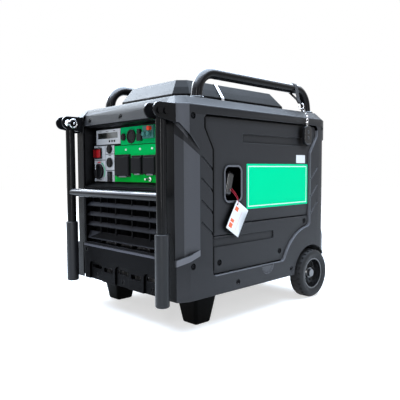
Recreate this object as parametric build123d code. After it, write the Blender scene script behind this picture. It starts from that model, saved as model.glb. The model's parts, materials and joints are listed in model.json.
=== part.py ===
from build123d import *
import os
from math import cos, radians, sin, tan

# Portable inverter generator in a closed case, on two wheels and two feet.
# Millimetres. x is to the right, z is up from the floor, and y runs back from the front
# face while a piece is made. At the end every piece moves by FRONT_Y, so that the origin
# lies on the floor under the middle of the whole machine.

# Case
BODY_W = 500.0
BODY_L = 645.0
BASE_Z = 84.0
SHOULDER_Z = 576.0
DECK_Z = 599.0
DECK_RUN = 22.0
DECK_CORNER = 20.0
WALL = 4.0
SPLIT_X = 192.0
PILLAR_X = 228.0
FACET_X = 240.0
FACET_Y = 22.0
PILLAR_Y = 68.0
REAR_CORNER = 20.0
BAND_BACK = 15.0
BAND_CORNER = (15.0, 33.0)
TOP_BAND_Z = 530.0
TOP_BAND_RUN = 78.0
LOW_BAND_Z = 190.0
LOW_BAND_RISE = 22.0
BAND_REACH = 12.0
TOP_BAND_LIP = 8.0
REAR_BAND_DROP = 30.0
REAR_BAND_EDGE = 18.0
FIT = 0.3
CLOSE_FIT = 0.1
NICK = 0.01
OVER = 1.0

# Side doors
DOOR_FRONT = 114.0
DOOR_REAR = 563.0
DOOR_TOP = 555.0
DOOR_BOTTOM = 136.0
DOOR_EAR = 30.0
DOOR_REAR_EAR = 38.0
DOOR_EAR_Z = 521.0
DOOR_WAIST_Z = 467.0
DOOR_CORNER = 14.0
DOOR_INSET = 6.0
DOOR_T = 6.0
DOOR_GAP = 4.0
DOOR_SPLIT_GAP = 1.5
DOOR_LEDGE = 10.0
DOOR_SPLIT_Z = 267.0
DOOR_STEP_Z = 240.0
DOOR_STEP_Y = 200.0
DOOR_SLANT = 23.0
DOOR_SLANT_DEPTH = 3.6
DOOR_ARCH_GAP = 64.0
SLOT_DEPTH = 3.0
SLOT_R = 6.0
UPPER_SLOT = (238.0, 556.0, 489.0, 512.0)
LOWER_SLOT = (108.0, 377.0, 211.0, 234.0)
COVER_SCREWS = ((144.0, 168.0), (407.0, 168.0), (536.0, 250.0))
SHELL_SCREWS = ((45.0, 548.0), (633.0, 548.0), (43.0, 172.0), (212.0, 105.0), (462.0, 105.0))
SCREW_POCKET_R = 6.5
SCREW_POCKET_D = 3.0
FRONT_POCKET_R = 5.5
CORNER_POCKET_R = 5.0
NOTCH_Y = 344.0
NOTCH_R = 27.0
FLUTE_COUNT = 4
FLUTE_PITCH = 56.0
FLUTE_Z = 430.0
FLUTE_Y = 96.0
FLUTE_L = 60.0
FLUTE_W = 5.0
FLUTE_D = 2.5
FLUTE_SLOPE = 40.0
REAR_FLUTE_COUNT = 3
REAR_FLUTE_Y = 583.0
REAR_FLUTE_Z = 402.0
REAR_FLUTE_L = 54.0
REAR_FLUTE_SLOPE = 46.0

# Starter window and grip
WINDOW_Y = 197.0
WINDOW_Z = 376.0
WINDOW_W = 63.0
WINDOW_H = 91.0
WINDOW_R = 14.0
LIP_W = 6.0
LIP_H = 3.0
POCKET_DEPTH = 42.0
POCKET_WALL = 3.0
STARTER_L = 66.0
STARTER_W = 26.0
STARTER_D = 24.0
STARTER_LEAN = 15.0
STARTER_R = 9.0
STARTER_STAND = 10.0
STARTER_NECK_R = 10.0
STARTER_ROOT_R = 5.5
STARTER_BITE = 2.0
ROPE_D = 5.0
ROPE_PLAY = 1.0
ROPE_SEAT = 4.0

# Deck, hood and carry hoops
HOOD_FRONT = 93.0
HOOD_REAR = 585.0
HOOD_W = 300.0
HOOD_NOSE_W = 234.0
HOOD_EDGE_Z = 621.0
HOOD_Z = 664.0
HOOD_RUN = 30.0
HOOD_TAIL_R = 40.0
HOOD_NOSE_TAPER = 0.6
DECK_TAPER = 0.2
CAP_Y = 330.0
CAP_R = 44.0
CAP_EDGE = 3.0
CAP_LIFT = 2.0
CAP_SINK = 1.0
CAP_WELL_R = 64.0
CAP_WELL_D = 22.0
CAP_GRIPS = 12
CAP_GRIP_R = 6.0
CAP_GRIP_OUT = 3.0
CAP_GRIP_TOP = 4.0
CAP_RIB = (57.2, 9.0, 5.0)
CAP_RIB_SINK = 1.5
NECK_R = 30.0
NECK_H = 12.0
NECK_WALL = 4.0
NECK_DEPTH = 30.0
NECK_GAP = 2.0
NECK_PLAY = 1.0
TANK_W = 236.0
TANK_FRONT = 148.0
TANK_REAR = 528.0
TANK_BOTTOM = 486.0
TANK_CORNER = 24.0
TANK_BASE_R = 16.0
TANK_FLANGE_W = 10.0
TANK_FLANGE_T = 3.0
TANK_HOLE_GAP = 3.0
TANK_CLEAR = 4.0
HOOP_X = 200.0
HOOP_FRONT = 103.0
HOOP_REAR = 608.0
HOOP_LEAN = 12.0
HOOP_Z = 673.0
HOOP_D = 30.0
HOOP_BEND = 58.0
HOOP_COLLAR_R = 22.0
HOOP_COLLAR_T = 6.0
HOOP_COLLAR_EDGE = 2.0

# Front
BAR_Z = 548.0
BAR_T = 6.0
BAR_LEAN = 8.0
BAR_EDGE_Z = 580.0
BAR_SCREW_X = 158.0
BAR_SCREW_RISE = 14.0
SILL_Z = 364.0
RECESS_DEPTH = 30.0
RECESS_TAPER = 11.0
PANEL_WALL = 3.0
PLATE_T = 1.2
SKIRT_Z = 191.0
SKIRT_W = 404.0
SKIRT_NARROW = 8.0
SKIRT_T = 8.0
SKIRT_SEAT = 10.0
ARCH_X = 134.0
ARCH_W = 66.0
ARCH_Z = 140.0
ARCH_TOP_R = 16.0
ARCH_DEPTH = 5.0
VENT_Z = 119.0
VENT_H = 11.0
VENT_W = 44.0
VENT_R = 3.0
VENT_MARGIN = 9.0
VENT_DROP = 4.0
VENT_TRIM = 2.0
SKIRT_SCREW_Z = 98.0
SKIRT_SCREW_D = 7.0
SKIRT_CORNER_SCREW = 17.0
SLAT_COUNT = 5
SLAT_TOP = 350.0
SLAT_PITCH = 29.7
SLAT_H = 14.0
SLAT_T = 4.0
SLAT_LAST_H = 24.0
SLAT_SINK = 3.0
SLAT_RUN = 10.0
SLAT_BITE = 4.0
GRILLE_DEPTH = 24.0
GRILLE_SIDE = 8.0
GRILLE_FOOT = 6.0
GRILLE_HEAD = 8.0
RIB_XS = (-117.0, -39.0, 39.0, 117.0)
RIB_T = 5.0
RIB_DEPTH = 14.0
RIB_BITE = 2.0

# Rear wall
REAR_LIP = 20.0
REAR_VENT_H = 9.0
REAR_VENT_R = 4.0
REAR_VENT_PITCH = 20.0
REAR_VENT_Z = 420.0
REAR_VENT_ROWS = 6
REAR_VENT_W = 80.0
REAR_VENT_STEP = 92.0
LOW_VENT_Z = 270.0
LOW_VENT_ROWS = 4
LOW_VENT_X = (-150.0, -20.0)
TAIL_GAP = 10.0

# Control panel, seen from the front
ROCKER_AT = (-156.0, 465.0)
ROCKER_SIZE = (36.0, 24.0)
ROCKER_GAP = 1.0
ROCKER_DIP = 2.2
ROCKER_PIN_R = 1.0
ROCKER_PIN_L = 2.0
START_AT = (-92.0, 476.0)
START_R = 9.0
ECO_AT = (-92.0, 437.0)
ECO_R = 11.0
LOW_SWITCH_AT = (-92.0, 396.0)
LOW_SWITCH_SIZE = (13.0, 22.0)
DIAL_AT = (-148.0, 411.0)
DIAL_R = 23.0
DIAL_T = 15.0
DIAL_EDGE = 2.0
DIAL_BAR_W = 10.0
DIAL_BAR_RISE = 7.0
DIAL_BAR_IN = 2.0
DIAL_SHAFT_R = 4.5
DIAL_SHAFT_OUT = 3.0
DIAL_HOLE_R = 5.0
BREAKER_AT = (-20.0, 508.0)
BREAKER_R = 7.0
BUTTON_RISE = 6.0
BUTTON_SINK = 1.0
BUTTON_EDGE = 1.2
BEZEL_T = 4.0
BEZEL_W = 3.0
TWIST_AT = (18.0, 508.0)
TWIST_R = 19.0
TWIST_RIM = 4.0
TWIST_RISE = 5.0
TWIST_FLOOR = 2.0
TWIST_CORE_R = 12.0
TWIST_CORE_RISE = 4.0
PAIR_AT = (57.0, 511.0)
PAIR_W = 20.0
PAIR_Z = (-17.0, 3.0)
PAIR_RISE = 7.0
PAIR_JACK_R = 7.0
PAIR_JACK_UP = 9.0
PAIR_JACK_RISE = 8.0
TERMINAL_AT = (93.0, 513.0)
TERMINAL_BOX = (-20.0, 26.0, -14.0, 20.0)
TERMINAL_RISE = 5.0
TERMINAL_POSTS = ((-8.0, -2.0), (12.0, -2.0), (14.0, 12.0))
TERMINAL_POST_R = 6.0
TERMINAL_POST_RISE = 14.0
DISPLAY = (-163.0, -38.0, 491.0, 534.0)
LCD = (-153.0, -51.0, 508.0, 525.0)
LENS_RISE = 0.6
LAMPS = ((-10.0, 472.0), (56.0, 472.0), (109.0, 472.0))
LAMP_R = 3.0
LAMP_RISE = 2.0
SWITCH_CELLS = ((-176.0, -116.0, 446.0, 487.0), (-114.0, -70.0, 463.0, 487.0), (-176.0, -116.0, 381.0, 444.0),
                (-114.0, -70.0, 415.0, 461.0), (-114.0, -70.0, 381.0, 413.0))
OUTLET_FIELDS = ((-35.0, 486.0, 535.0), (-67.0, 381.0, 484.0))
OUTLET_EDGE = 1.0
COVERS = (("outlet_cover_large", -56.0, 12.0, 398.0, 453.0),
          ("outlet_cover_middle", 24.0, 68.0, 405.0, 449.0),
          ("outlet_cover_small", 77.0, 127.0, 404.0, 449.0))
COVER_DEPTH = 8.0
COVER_EDGE = 3.0
COVER_LIP_T = 2.5
COVER_LIP_BACK = 1.5
COVER_LIP_DROP = 4.0
COVER_WALL = 2.0
COVER_BASE_T = 2.0
HINGE_R = 3.0
HINGE_PIN_R = 1.5
HINGE_EAR = 4.0
HINGE_PIN_IN = 1.0
SOCKET_FOOT = 3.0
SOCKET_MARGIN = 6.0
SOCKET_RISE = 3.0
SLIT_X = 7.0
SLIT_W = 2.0
SLIT_H = 10.0
SLIT_FLOOR = 1.0
EARTH_AT = (104.0, 390.0)
EARTH_R = 3.0
EARTH_L = 22.0
EARTH_NUT_R = 6.6
EARTH_NUT_T = 6.0

# Folding pull handle
HANDLE_X = 216.0
HANDLE_OUT = 30.0
HANDLE_PIVOT_Z = 555.0
HANDLE_TUBE_R = 13.5
HANDLE_TUBE_T = 2.0
HANDLE_PLUG = 4.0
CROSSBAR_Z = 348.0
CROSSBAR_R = 11.5
GRIP_R = 18.0
GRIP_TOP = 258.0
GRIP_BOTTOM = 76.0
GRIP_FLOOR = 6.0
GRIP_FOOT_R = 5.0
GRIP_EDGE = 1.5
CHEEK_T = 5.0
CHEEK_GAP = 1.5
CHEEK_ROOT = (529.0, 576.0)
CHEEK_NOSE_R = 19.0
CHEEK_NOSE_OUT = 48.0
CHEEK_RISE = 2.0
BRACKET_T = 4.0
EYE_R = 14.0
PIVOT_R = 5.0
BOLT_HEAD_R = 8.0
BOLT_HEAD_T = 4.0
BOLT_STEP = 20.0

# Wheels, axle, feet and tray
WHEEL_Y = 570.0
WHEEL_R = 77.0
WHEEL_OUT = 263.0
WHEEL_W = 47.0
TYRE_BEAD = 5.0
TYRE_WALL = 12.0
TYRE_SHOULDER = 4.0
TYRE_EDGE = 3.0
TYRE_CROWN = 9.0
RIM_R = 50.0
RIM_T = 6.0
RIM_LIP = 5.0
RIM_DISH = 9.0
RIM_HOLES = 5
RIM_HOLE_R = 7.0
WEB_ROOT = 12.0
WEB_EDGE = 6.0
WEB_T = 7.0
HUB_R = 17.0
HUB_FLARE = 4.0
HUB_SINK = 12.0
AXLE_R = 8.0
AXLE_FIT = 0.05
AXLE_NUT_R = 12.0
AXLE_NUT_T = 6.0
AXLE_CLEAR = 2.0
ARCH_CLEAR = 15.0
WELL_GAP = 8.0
LUG_COUNT = 28
LUG_W = 7.0
LUG_D = 3.0
FOOT_X = 179.0
FOOT_Y = 120.0
FOOT_TOP = 84.0
FOOT_BASE = 56.0
FOOT_CORNER = 10.0
FOOT_EDGE = 7.0
TRAY_T = 3.0
TRAY_H = 24.0
TRAY_FRONT = 14.0
TRAY_REAR = 629.0
TRAY_WAIST = 190.0
TRAY_STEP = 6.0
AXLE_EAR_FOOT = 34.0
AXLE_EAR_NOSE = 16.0
AXLE_EAR_DROP = 16.0
AXLE_EAR_T = 6.0
AXLE_EAR_IN = 8.0

# Engine and generator, crankshaft along y
ROPE_R = 50.0
PULLEY_R = 58.0
PULLEY_T = 16.0
HOUSING_R = 104.0
HOUSING_T = 4.0
SHAFT_R = 15.0
SHAFT_NOSE = 4.0
FAN_R = 86.0
FAN_T = 26.0
FAN_BLADES = 12
FAN_SPACE = 16.0
FAN_PLATE_T = 6.0
FAN_HUB_R = 34.0
BLADE_T = 4.0
BLADE_ROOT = 32.0
BLADE_TRIM = 2.0
ROTOR_R = 74.0
ROTOR_L = 60.0
ROTOR_SPACE = 6.0
STATOR_R = 98.0
STATOR_GAP = 3.0
STATOR_TEETH = 18
STATOR_SLOT = (10.0, 5.0)
STATOR_YOKE = 10.0
STATOR_BACK = 4.0
CASE_W = 190.0
CASE_H = 190.0
CASE_L = 140.0
CASE_R = 24.0
CASE_SPACE = 8.0
CASE_BOSS_R = 40.0
CASE_BOSS_T = 8.0
CASE_FOOT_W = 40.0
CASE_FOOT_IN = 4.0
CASE_FOOT_H = 30.0
SHAFT_TAIL = 12.0
CYL_R = 52.0
CYL_L = 96.0
CYL_SLANT = 25.0
FIN_COUNT = 7
FIN_T = 4.0
FIN_OUT = 16.0
FIN_R = 18.0
FIN_START = 16.0
FIN_PITCH = 9.6
HEAD_T = 34.0
HEAD_R = 16.0
HEAD_TRIM = 10.0
CYL_RISE = 10.0
CYL_SINK = 20.0
MUFFLER_W = 180.0
MUFFLER_H = 110.0
TAIL_R = 17.0
TAIL_X = 60.0
TAIL_T = 2.5
TAIL_OUT = 3.0
MUFFLER_GAP = 24.0
MUFFLER_REAR_GAP = 58.0
MUFFLER_DROP = 20.0
MUFFLER_EDGE = 8.0
MUFFLER_BRACKET = (-70.0, -40.0, 20.0)
MOUNT_R = 18.0
MOUNT_H = 40.0
MOUNT_IN = 24.0
HOUSING_FRONT = 14.0
HOUSING_HOLES = 8
HOUSING_HOLE_R = 11.0
HOUSING_HOLE_AT = 65.0
PULLEY_POST_R = 8.0
PULLEY_FLANGE = 4.0
FILTER_X = (-70.0, 75.0)
FILTER_L = 116.0
FILTER_H = 29.0
FILTER_IN = 10.0
FILTER_R = 14.0
CARB_W = 36.0
CARB_H = 34.0
CARB_Y = (30.0, 80.0)
POWER_X = (-150.0, 90.0)
POWER_Y = 52.0
POWER_L = 44.0
POWER_H = 120.0
POWER_FINS = 12
POWER_FIN_T = 4.0
POWER_FIN_OUT = 18.0
BATTERY_AT = (120.0, 150.0)
BATTERY = (80.0, 130.0, 95.0)
BATTERY_R = 5.0
BATTERY_POST_R = 7.0
BATTERY_POST_H = 13.0
BATTERY_POST_IN = 25.0

# Remote on its strap, and the paper tag
REMOTE_Y = 530.0
STRAP_W = 16.0
STRAP_T = 1.6
FOB = (36.0, 58.0, 12.0)
FOB_CORNER = 12.0
FOB_EDGE = 3.0
FOB_CLEAR = 1.0
FOB_TOP = 550.0
CHAIN_DROP = 32.0
RING_R = 9.0
RING_WIRE = 1.4
LINK_COUNT = 6
LINK = (8.0, 14.0, 1.8)
STRAP_DROP = 58.0
STRAP_SEAM = 14.0
STRAP_GRIP = 3.2
STRAP_SLIT = 0.4
STRAP_LEAN = 30.0
TAG = (56.0, 84.0, 0.8)
TAG_TURN = 33.0
TAG_CORNER = 1.5
TAG_HOLE_IN = 8.0
TAG_HOLE_R = 2.5
TAG_OUT = 4.0
TAG_AT = (8.0, 10.0)
STRING_D = 1.4
STRING_TIES = ((0.0, -4.0, -14.0), (8.0, -1.0, -22.0), (7.0, 6.0, -21.0), (0.0, 4.0, -13.0))
STRING_LOOP = ((2.0, -3.0, 16.0), (3.2, 0.0, 4.0), (0.2, 1.2, -0.6), (-2.6, 2.0, 5.0), (-0.4, 4.0, 18.0))
ARC_SHARE = 0.45

# Worked out from the sizes above
HALF_W = BODY_W / 2
BAND_L = BODY_L + BAND_BACK
NOSE = CHEEK_NOSE_OUT + CHEEK_NOSE_R
FRONT_Y = (NOSE - max(BAND_L, WHEEL_Y + WHEEL_R)) / 2
WHEEL_Z = WHEEL_R
ARCH_R = WHEEL_R + ARCH_CLEAR
DOOR_ARCH_R = ARCH_R + DOOR_ARCH_GAP
WELL_X = WHEEL_OUT - WHEEL_W - WELL_GAP
DOOR_X = HALF_W - DOOR_INSET
DOOR_SEAT_X = DOOR_X - DOOR_T
CRANK_Z = WINDOW_Z - ROPE_R
PLATE_Y = RECESS_DEPTH - PLATE_T
ROCKER_PIVOT_Y = PLATE_Y - BEZEL_T / 2
POCKET_X = DOOR_X - POCKET_DEPTH
PULLEY_Y = WINDOW_Y
FAN_Y = PULLEY_Y + PULLEY_T / 2 + FAN_SPACE
ROTOR_Y = FAN_Y + FAN_T + ROTOR_SPACE
CASE_Y = ROTOR_Y + ROTOR_L + CASE_SPACE
CASE_BOTTOM = CRANK_Z - CASE_H / 2
TRAY_FLOOR = BASE_Z + TRAY_T
TANK_TOP = HOOD_Z - CAP_WELL_D - WALL - TANK_CLEAR
SPLIT_FIT = SPLIT_X - FIT
BAR_X = SPLIT_FIT
MUFFLER_Z = CRANK_Z - MUFFLER_DROP


def block(x, y, z):
    """Box between two limits on each axis."""
    box = Box(x[1] - x[0], y[1] - y[0], z[1] - z[0])
    return Pos((x[0] + x[1]) / 2, (y[0] + y[1]) / 2, (z[0] + z[1]) / 2) * box


def side_plane(x):
    return Plane(origin=(x, 0, 0), x_dir=(0, 1, 0), z_dir=(1, 0, 0))


def front_plane(y):
    return Plane(origin=(0, y, 0), x_dir=(1, 0, 0), z_dir=(0, -1, 0))


def along_x(face, x0, x1):
    """Extrude a face drawn in y and z."""
    return extrude(side_plane(x0) * face, amount=x1 - x0)


def along_y(face, y0, y1):
    """Extrude a face drawn in x and z."""
    return extrude(front_plane(y1) * face, amount=y1 - y0)


def along_z(face, z0, z1):
    """Extrude a face drawn in x and y."""
    return extrude(Pos(0, 0, z0) * face, amount=z1 - z0)


def rod_x(y, z, radius, x0, x1):
    return along_x(Pos(y, z) * Circle(radius), x0, x1)


def rod_y(x, z, radius, y0, y1):
    return along_y(Pos(x, z) * Circle(radius), y0, y1)


def rod_z(x, y, radius, z0, z1):
    return along_z(Pos(x, y) * Circle(radius), z0, z1)


def polygon(*points):
    return make_face(Polyline(*points, close=True))


def rectangle(a0, a1, b0, b1):
    return Pos((a0 + a1) / 2, (b0 + b1) / 2) * Rectangle(a1 - a0, b1 - b0)


def soft_rectangle(a0, a1, b0, b1, radius):
    return Pos((a0 + a1) / 2, (b0 + b1) / 2) * RectangleRounded(a1 - a0, b1 - b0, radius)


def to_left(part):
    """The same piece on the other side of the machine."""
    return mirror(part, about=Plane.YZ)


def spun(profile, y, z):
    """Revolve a profile, drawn as distance from the axle and place along x, about the axle."""
    plane = Plane(origin=(0, y, z), x_dir=(0, 0, 1), z_dir=(0, 1, 0))
    return revolve(plane * profile, axis=Axis((0, y, z), (1, 0, 0)))


def plan(half):
    """Face in x and y that is the same on both sides of the middle."""
    left = [(-x, y) for x, y in reversed(half)]
    return polygon(*half, *left)


def core_plan():
    return plan([(PILLAR_X, 0), (FACET_X, FACET_Y), (HALF_W, PILLAR_Y),
                 (HALF_W, BODY_L - REAR_CORNER), (HALF_W - REAR_CORNER / 2, BODY_L)])


def octagon(half_w, y0, y1, corner_x, corner_y):
    return plan([(half_w - corner_x, y0), (half_w, y0 + corner_y),
                 (half_w, y1 - corner_y), (half_w - corner_x, y1)])


def band_plan():
    return octagon(HALF_W, 0, BAND_L, *BAND_CORNER)


def corner_bands():
    """Side view of the four stout corners above and below the slim pillars."""
    top = SHOULDER_Z
    near = -OVER
    far = BAND_L + OVER
    reach = PILLAR_Y + BAND_REACH
    rear = BODY_L - PILLAR_Y
    low_top = LOW_BAND_Z + LOW_BAND_RISE
    front_top = polygon((near, top), (near, TOP_BAND_Z), (TOP_BAND_LIP, TOP_BAND_Z),
                        (reach, TOP_BAND_Z - TOP_BAND_RUN), (reach, top))
    front_low = polygon((near, BASE_Z), (near, LOW_BAND_Z), (PILLAR_Y, low_top), (reach, low_top),
                        (reach, BASE_Z))
    rear_top = polygon((rear, top), (rear, TOP_BAND_Z - REAR_BAND_DROP), (far, TOP_BAND_Z - REAR_BAND_EDGE),
                       (far, top))
    rear_low = polygon((rear, BASE_Z), (rear, low_top), (BODY_L, low_top), (far, LOW_BAND_Z), (far, BASE_Z))
    return [along_x(face, SPLIT_X, HALF_W + OVER) for face in (front_top, front_low, rear_top, rear_low)]


def door_outline():
    """Sunk field of the side: ears at the top, slim waist, and an arch over the wheel."""
    field = polygon((DOOR_FRONT - DOOR_EAR, DOOR_TOP), (DOOR_FRONT - DOOR_EAR, DOOR_EAR_Z),
                    (DOOR_FRONT, DOOR_WAIST_Z), (DOOR_FRONT, DOOR_BOTTOM), (DOOR_REAR, DOOR_BOTTOM),
                    (DOOR_REAR, DOOR_WAIST_Z), (DOOR_REAR + DOOR_REAR_EAR, DOOR_EAR_Z),
                    (DOOR_REAR + DOOR_REAR_EAR, DOOR_TOP))
    field = field - Pos(WHEEL_Y, WHEEL_Z) * Circle(DOOR_ARCH_R)
    return fillet(field.vertices(), DOOR_CORNER)


def slanted_groove(y, z, length, turn):
    bar = Box(2 * FLUTE_D, length, FLUTE_W)
    return Pos(HALF_W, y, z) * Rot(turn, 0, 0) * bar


def side_shell():
    shell = along_z(core_plan(), BASE_Z, SHOULDER_Z)
    bands = along_z(band_plan(), BASE_Z, SHOULDER_Z)
    for corner in corner_bands():
        shell += bands & corner
    shell -= along_z(offset(core_plan(), -WALL, kind=Kind.INTERSECTION), BASE_Z - OVER, SHOULDER_Z + OVER)
    shell &= block((SPLIT_X, HALF_W + OVER), (-OVER, BAND_L + OVER), (BASE_Z, SHOULDER_Z))
    outline = door_outline()
    shell += along_x(offset(outline, WALL), DOOR_SEAT_X - WALL, HALF_W - WALL / 2)
    well = rod_x(WHEEL_Y, WHEEL_Z, ARCH_R + WALL, WELL_X - WALL, HALF_W - WALL / 2)
    shell += well & block((SPLIT_X, HALF_W), (0, BODY_L), (BASE_Z, SHOULDER_Z))
    shell -= along_x(outline, DOOR_SEAT_X, HALF_W + OVER)
    shell -= along_x(offset(outline, -DOOR_LEDGE), SPLIT_X, HALF_W + OVER)
    shell -= rod_x(WHEEL_Y, WHEEL_Z, ARCH_R, WELL_X, HALF_W + OVER)
    shell -= rod_x(WHEEL_Y, WHEEL_Z, AXLE_NUT_R + AXLE_CLEAR, SPLIT_X, HALF_W)
    shell -= along_x(Pos(NOTCH_Y, DOOR_BOTTOM) * Circle(NOTCH_R), HALF_W - FLUTE_D, HALF_W + OVER)
    shell -= block((0, SKIRT_W / 2 + FIT), (-OVER, SKIRT_SEAT), (BASE_Z - OVER, SKIRT_Z + FIT))
    for y, z in SHELL_SCREWS:
        shell -= rod_x(y, z, SCREW_POCKET_R, HALF_W - SCREW_POCKET_D, HALF_W + OVER)
    for i in range(FLUTE_COUNT):
        shell -= slanted_groove(FLUTE_Y, FLUTE_Z - i * FLUTE_PITCH, FLUTE_L, -FLUTE_SLOPE)
    for i in range(REAR_FLUTE_COUNT):
        shell -= slanted_groove(REAR_FLUTE_Y, REAR_FLUTE_Z - i * FLUTE_PITCH, REAR_FLUTE_L, REAR_FLUTE_SLOPE)
    return shell


def slot_cut(limits):
    y0, y1, z0, z1 = limits
    return along_x(soft_rectangle(y0, y1, z0, z1, SLOT_R), DOOR_X - SLOT_DEPTH, DOOR_X + OVER)


def door_blank():
    return along_x(offset(door_outline(), -DOOR_GAP), DOOR_SEAT_X, DOOR_X)


def below_split(gap):
    """Side view of everything under the line where the door meets the service cover."""
    low = DOOR_STEP_Z + gap
    high = DOOR_SPLIT_Z + gap
    return polygon((0, 0), (0, low), (DOOR_STEP_Y, low), (DOOR_STEP_Y + DOOR_SPLIT_Z - DOOR_STEP_Z, high),
                   (BODY_L, high), (BODY_L, 0))


def starter_window(grow):
    half_w = WINDOW_W / 2 + grow
    half_h = WINDOW_H / 2 + grow
    return soft_rectangle(WINDOW_Y - half_w, WINDOW_Y + half_w, WINDOW_Z - half_h, WINDOW_Z + half_h,
                          WINDOW_R + grow)


def right_door():
    """Upper door with a framed pocket for the starter grip."""
    door = door_blank() - along_x(below_split(DOOR_SPLIT_GAP / 2), 0, HALF_W + OVER)
    edge_z = DOOR_SPLIT_Z + DOOR_SLANT
    foot_z = DOOR_SPLIT_Z - OVER
    slant = polygon((DOOR_X, edge_z), (DOOR_X + OVER, edge_z), (DOOR_X + OVER, foot_z),
                    (DOOR_X - DOOR_SLANT_DEPTH, foot_z))
    door -= along_y(slant, DOOR_STEP_Y + DOOR_SLANT, BODY_L)
    door -= slot_cut(UPPER_SLOT)
    door += along_x(starter_window(LIP_W), DOOR_SEAT_X, DOOR_X + LIP_H)
    door += along_x(starter_window(POCKET_WALL), POCKET_X - POCKET_WALL, DOOR_SEAT_X)
    door -= along_x(starter_window(0), POCKET_X, DOOR_X + LIP_H + OVER)
    door -= rod_x(WINDOW_Y, WINDOW_Z, ROPE_D / 2 + ROPE_PLAY, POCKET_X - POCKET_WALL - OVER, POCKET_X + OVER)
    return door


def right_service_cover():
    cover = door_blank() & along_x(below_split(-DOOR_SPLIT_GAP / 2), 0, HALF_W + OVER)
    cover -= slot_cut(LOWER_SLOT)
    for y, z in COVER_SCREWS:
        cover -= rod_x(y, z, SCREW_POCKET_R, DOOR_X - SCREW_POCKET_D, DOOR_X + OVER)
    return cover


def left_door():
    """One-piece door over the air cleaner, on the side away from the starter."""
    door = door_blank() - slot_cut(UPPER_SLOT) - slot_cut(LOWER_SLOT)
    for y, z in COVER_SCREWS:
        door -= rod_x(y, z, SCREW_POCKET_R, DOOR_X - SCREW_POCKET_D, DOOR_X + OVER)
    return to_left(door)


def deck_body(inset, z0, z1):
    run = DECK_RUN - inset * DECK_TAPER
    low = octagon(HALF_W - inset, inset, BAND_L - inset, *BAND_CORNER)
    high = octagon(HALF_W - inset - run, inset + run, BAND_L - inset - run, DECK_CORNER, DECK_CORNER)
    return loft([Pos(0, 0, z0) * low, Pos(0, 0, z1) * high], ruled=True)


def hood_plan(inset):
    nose = HOOD_NOSE_W / 2 - inset * HOOD_NOSE_TAPER
    half = HOOD_W / 2 - inset
    front = HOOD_FRONT + inset
    rear = HOOD_REAR - inset
    return plan([(nose, front), (half, front + half - nose), (half, rear - HOOD_TAIL_R),
                 (half - HOOD_TAIL_R, rear)])


def top_deck():
    deck = deck_body(0, SHOULDER_Z, DECK_Z)
    deck -= deck_body(WALL, SHOULDER_Z, DECK_Z - WALL)
    face = [(0, BAR_Z), (BAR_LEAN, BAR_EDGE_Z), (DECK_RUN, DECK_Z)]
    back = [(y + BAR_T, z) for y, z in reversed(face)]
    deck += block((-BAR_X, BAR_X), (0, RECESS_DEPTH), (BAR_Z, BAR_Z + WALL))
    deck -= along_x(polygon(*face, (-OVER, DECK_Z + OVER), (-OVER, BAR_Z)), -BAR_X, BAR_X)
    deck += along_x(polygon(*face, *back), -BAR_X, BAR_X)
    deck -= along_z(tank_plan(-TANK_HOLE_GAP), SHOULDER_Z, DECK_Z + OVER)
    for x in (-BAR_SCREW_X, 0, BAR_SCREW_X):
        deck -= rod_y(x, BAR_Z + BAR_SCREW_RISE, FRONT_POCKET_R, -OVER, SCREW_POCKET_D + BAR_T / 2)
    return deck


def tank_hood():
    hood = along_z(hood_plan(0), DECK_Z, HOOD_EDGE_Z)
    hood += loft([Pos(0, 0, HOOD_EDGE_Z) * hood_plan(0), Pos(0, 0, HOOD_Z) * hood_plan(HOOD_RUN)], ruled=True)
    hollow = along_z(hood_plan(WALL), DECK_Z, HOOD_EDGE_Z - WALL)
    hollow += loft([Pos(0, 0, HOOD_EDGE_Z - WALL) * hood_plan(WALL),
                    Pos(0, 0, HOOD_Z - WALL) * hood_plan(HOOD_RUN + WALL)], ruled=True)
    hood -= hollow
    floor = HOOD_Z - CAP_WELL_D
    hood += rod_z(0, CAP_Y, CAP_WELL_R + WALL, floor - WALL, HOOD_Z - OVER)
    hood -= rod_z(0, CAP_Y, CAP_WELL_R, floor, HOOD_Z + OVER)
    hood -= rod_z(0, CAP_Y, NECK_R + NECK_GAP, floor - WALL - OVER, floor + OVER)
    return hood


def tank_plan(inset):
    half = TANK_W / 2 - inset
    return soft_rectangle(-half, half, TANK_FRONT + inset, TANK_REAR - inset, TANK_CORNER)


def fuel_tank():
    """Tank that hangs through the deck on its seam flange, with the filler neck on top."""
    tank = along_z(tank_plan(0), TANK_BOTTOM, TANK_TOP)
    tank = fillet(tank.edges().group_by(Axis.Z)[0], TANK_BASE_R)
    tank += along_z(tank_plan(-TANK_FLANGE_W), DECK_Z, DECK_Z + TANK_FLANGE_T)
    neck_top = HOOD_Z - CAP_WELL_D + NECK_H
    tank += rod_z(0, CAP_Y, NECK_R, TANK_TOP - OVER, neck_top)
    tank -= rod_z(0, CAP_Y, NECK_R - NECK_WALL, TANK_TOP - NECK_DEPTH, neck_top + OVER)
    return tank


def fuel_cap():
    floor = HOOD_Z - CAP_WELL_D
    seat = floor + NECK_H + FIT
    top = HOOD_Z - CAP_SINK
    cap = rod_z(0, CAP_Y, CAP_R, floor + CAP_LIFT, top)
    cap = chamfer(cap.edges().group_by(Axis.Z)[-1], CAP_EDGE)
    cap -= rod_z(0, CAP_Y, NECK_R + NECK_PLAY, floor, seat)
    scoop = rod_z(CAP_R + CAP_GRIP_OUT, 0, CAP_GRIP_R, floor, top - CAP_GRIP_TOP)
    for i in range(CAP_GRIPS):
        cap -= Pos(0, CAP_Y, 0) * Rot(0, 0, i * 360 / CAP_GRIPS) * scoop
    cap += Pos(0, CAP_Y, top - CAP_RIB_SINK) * Box(*CAP_RIB)
    return cap


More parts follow.
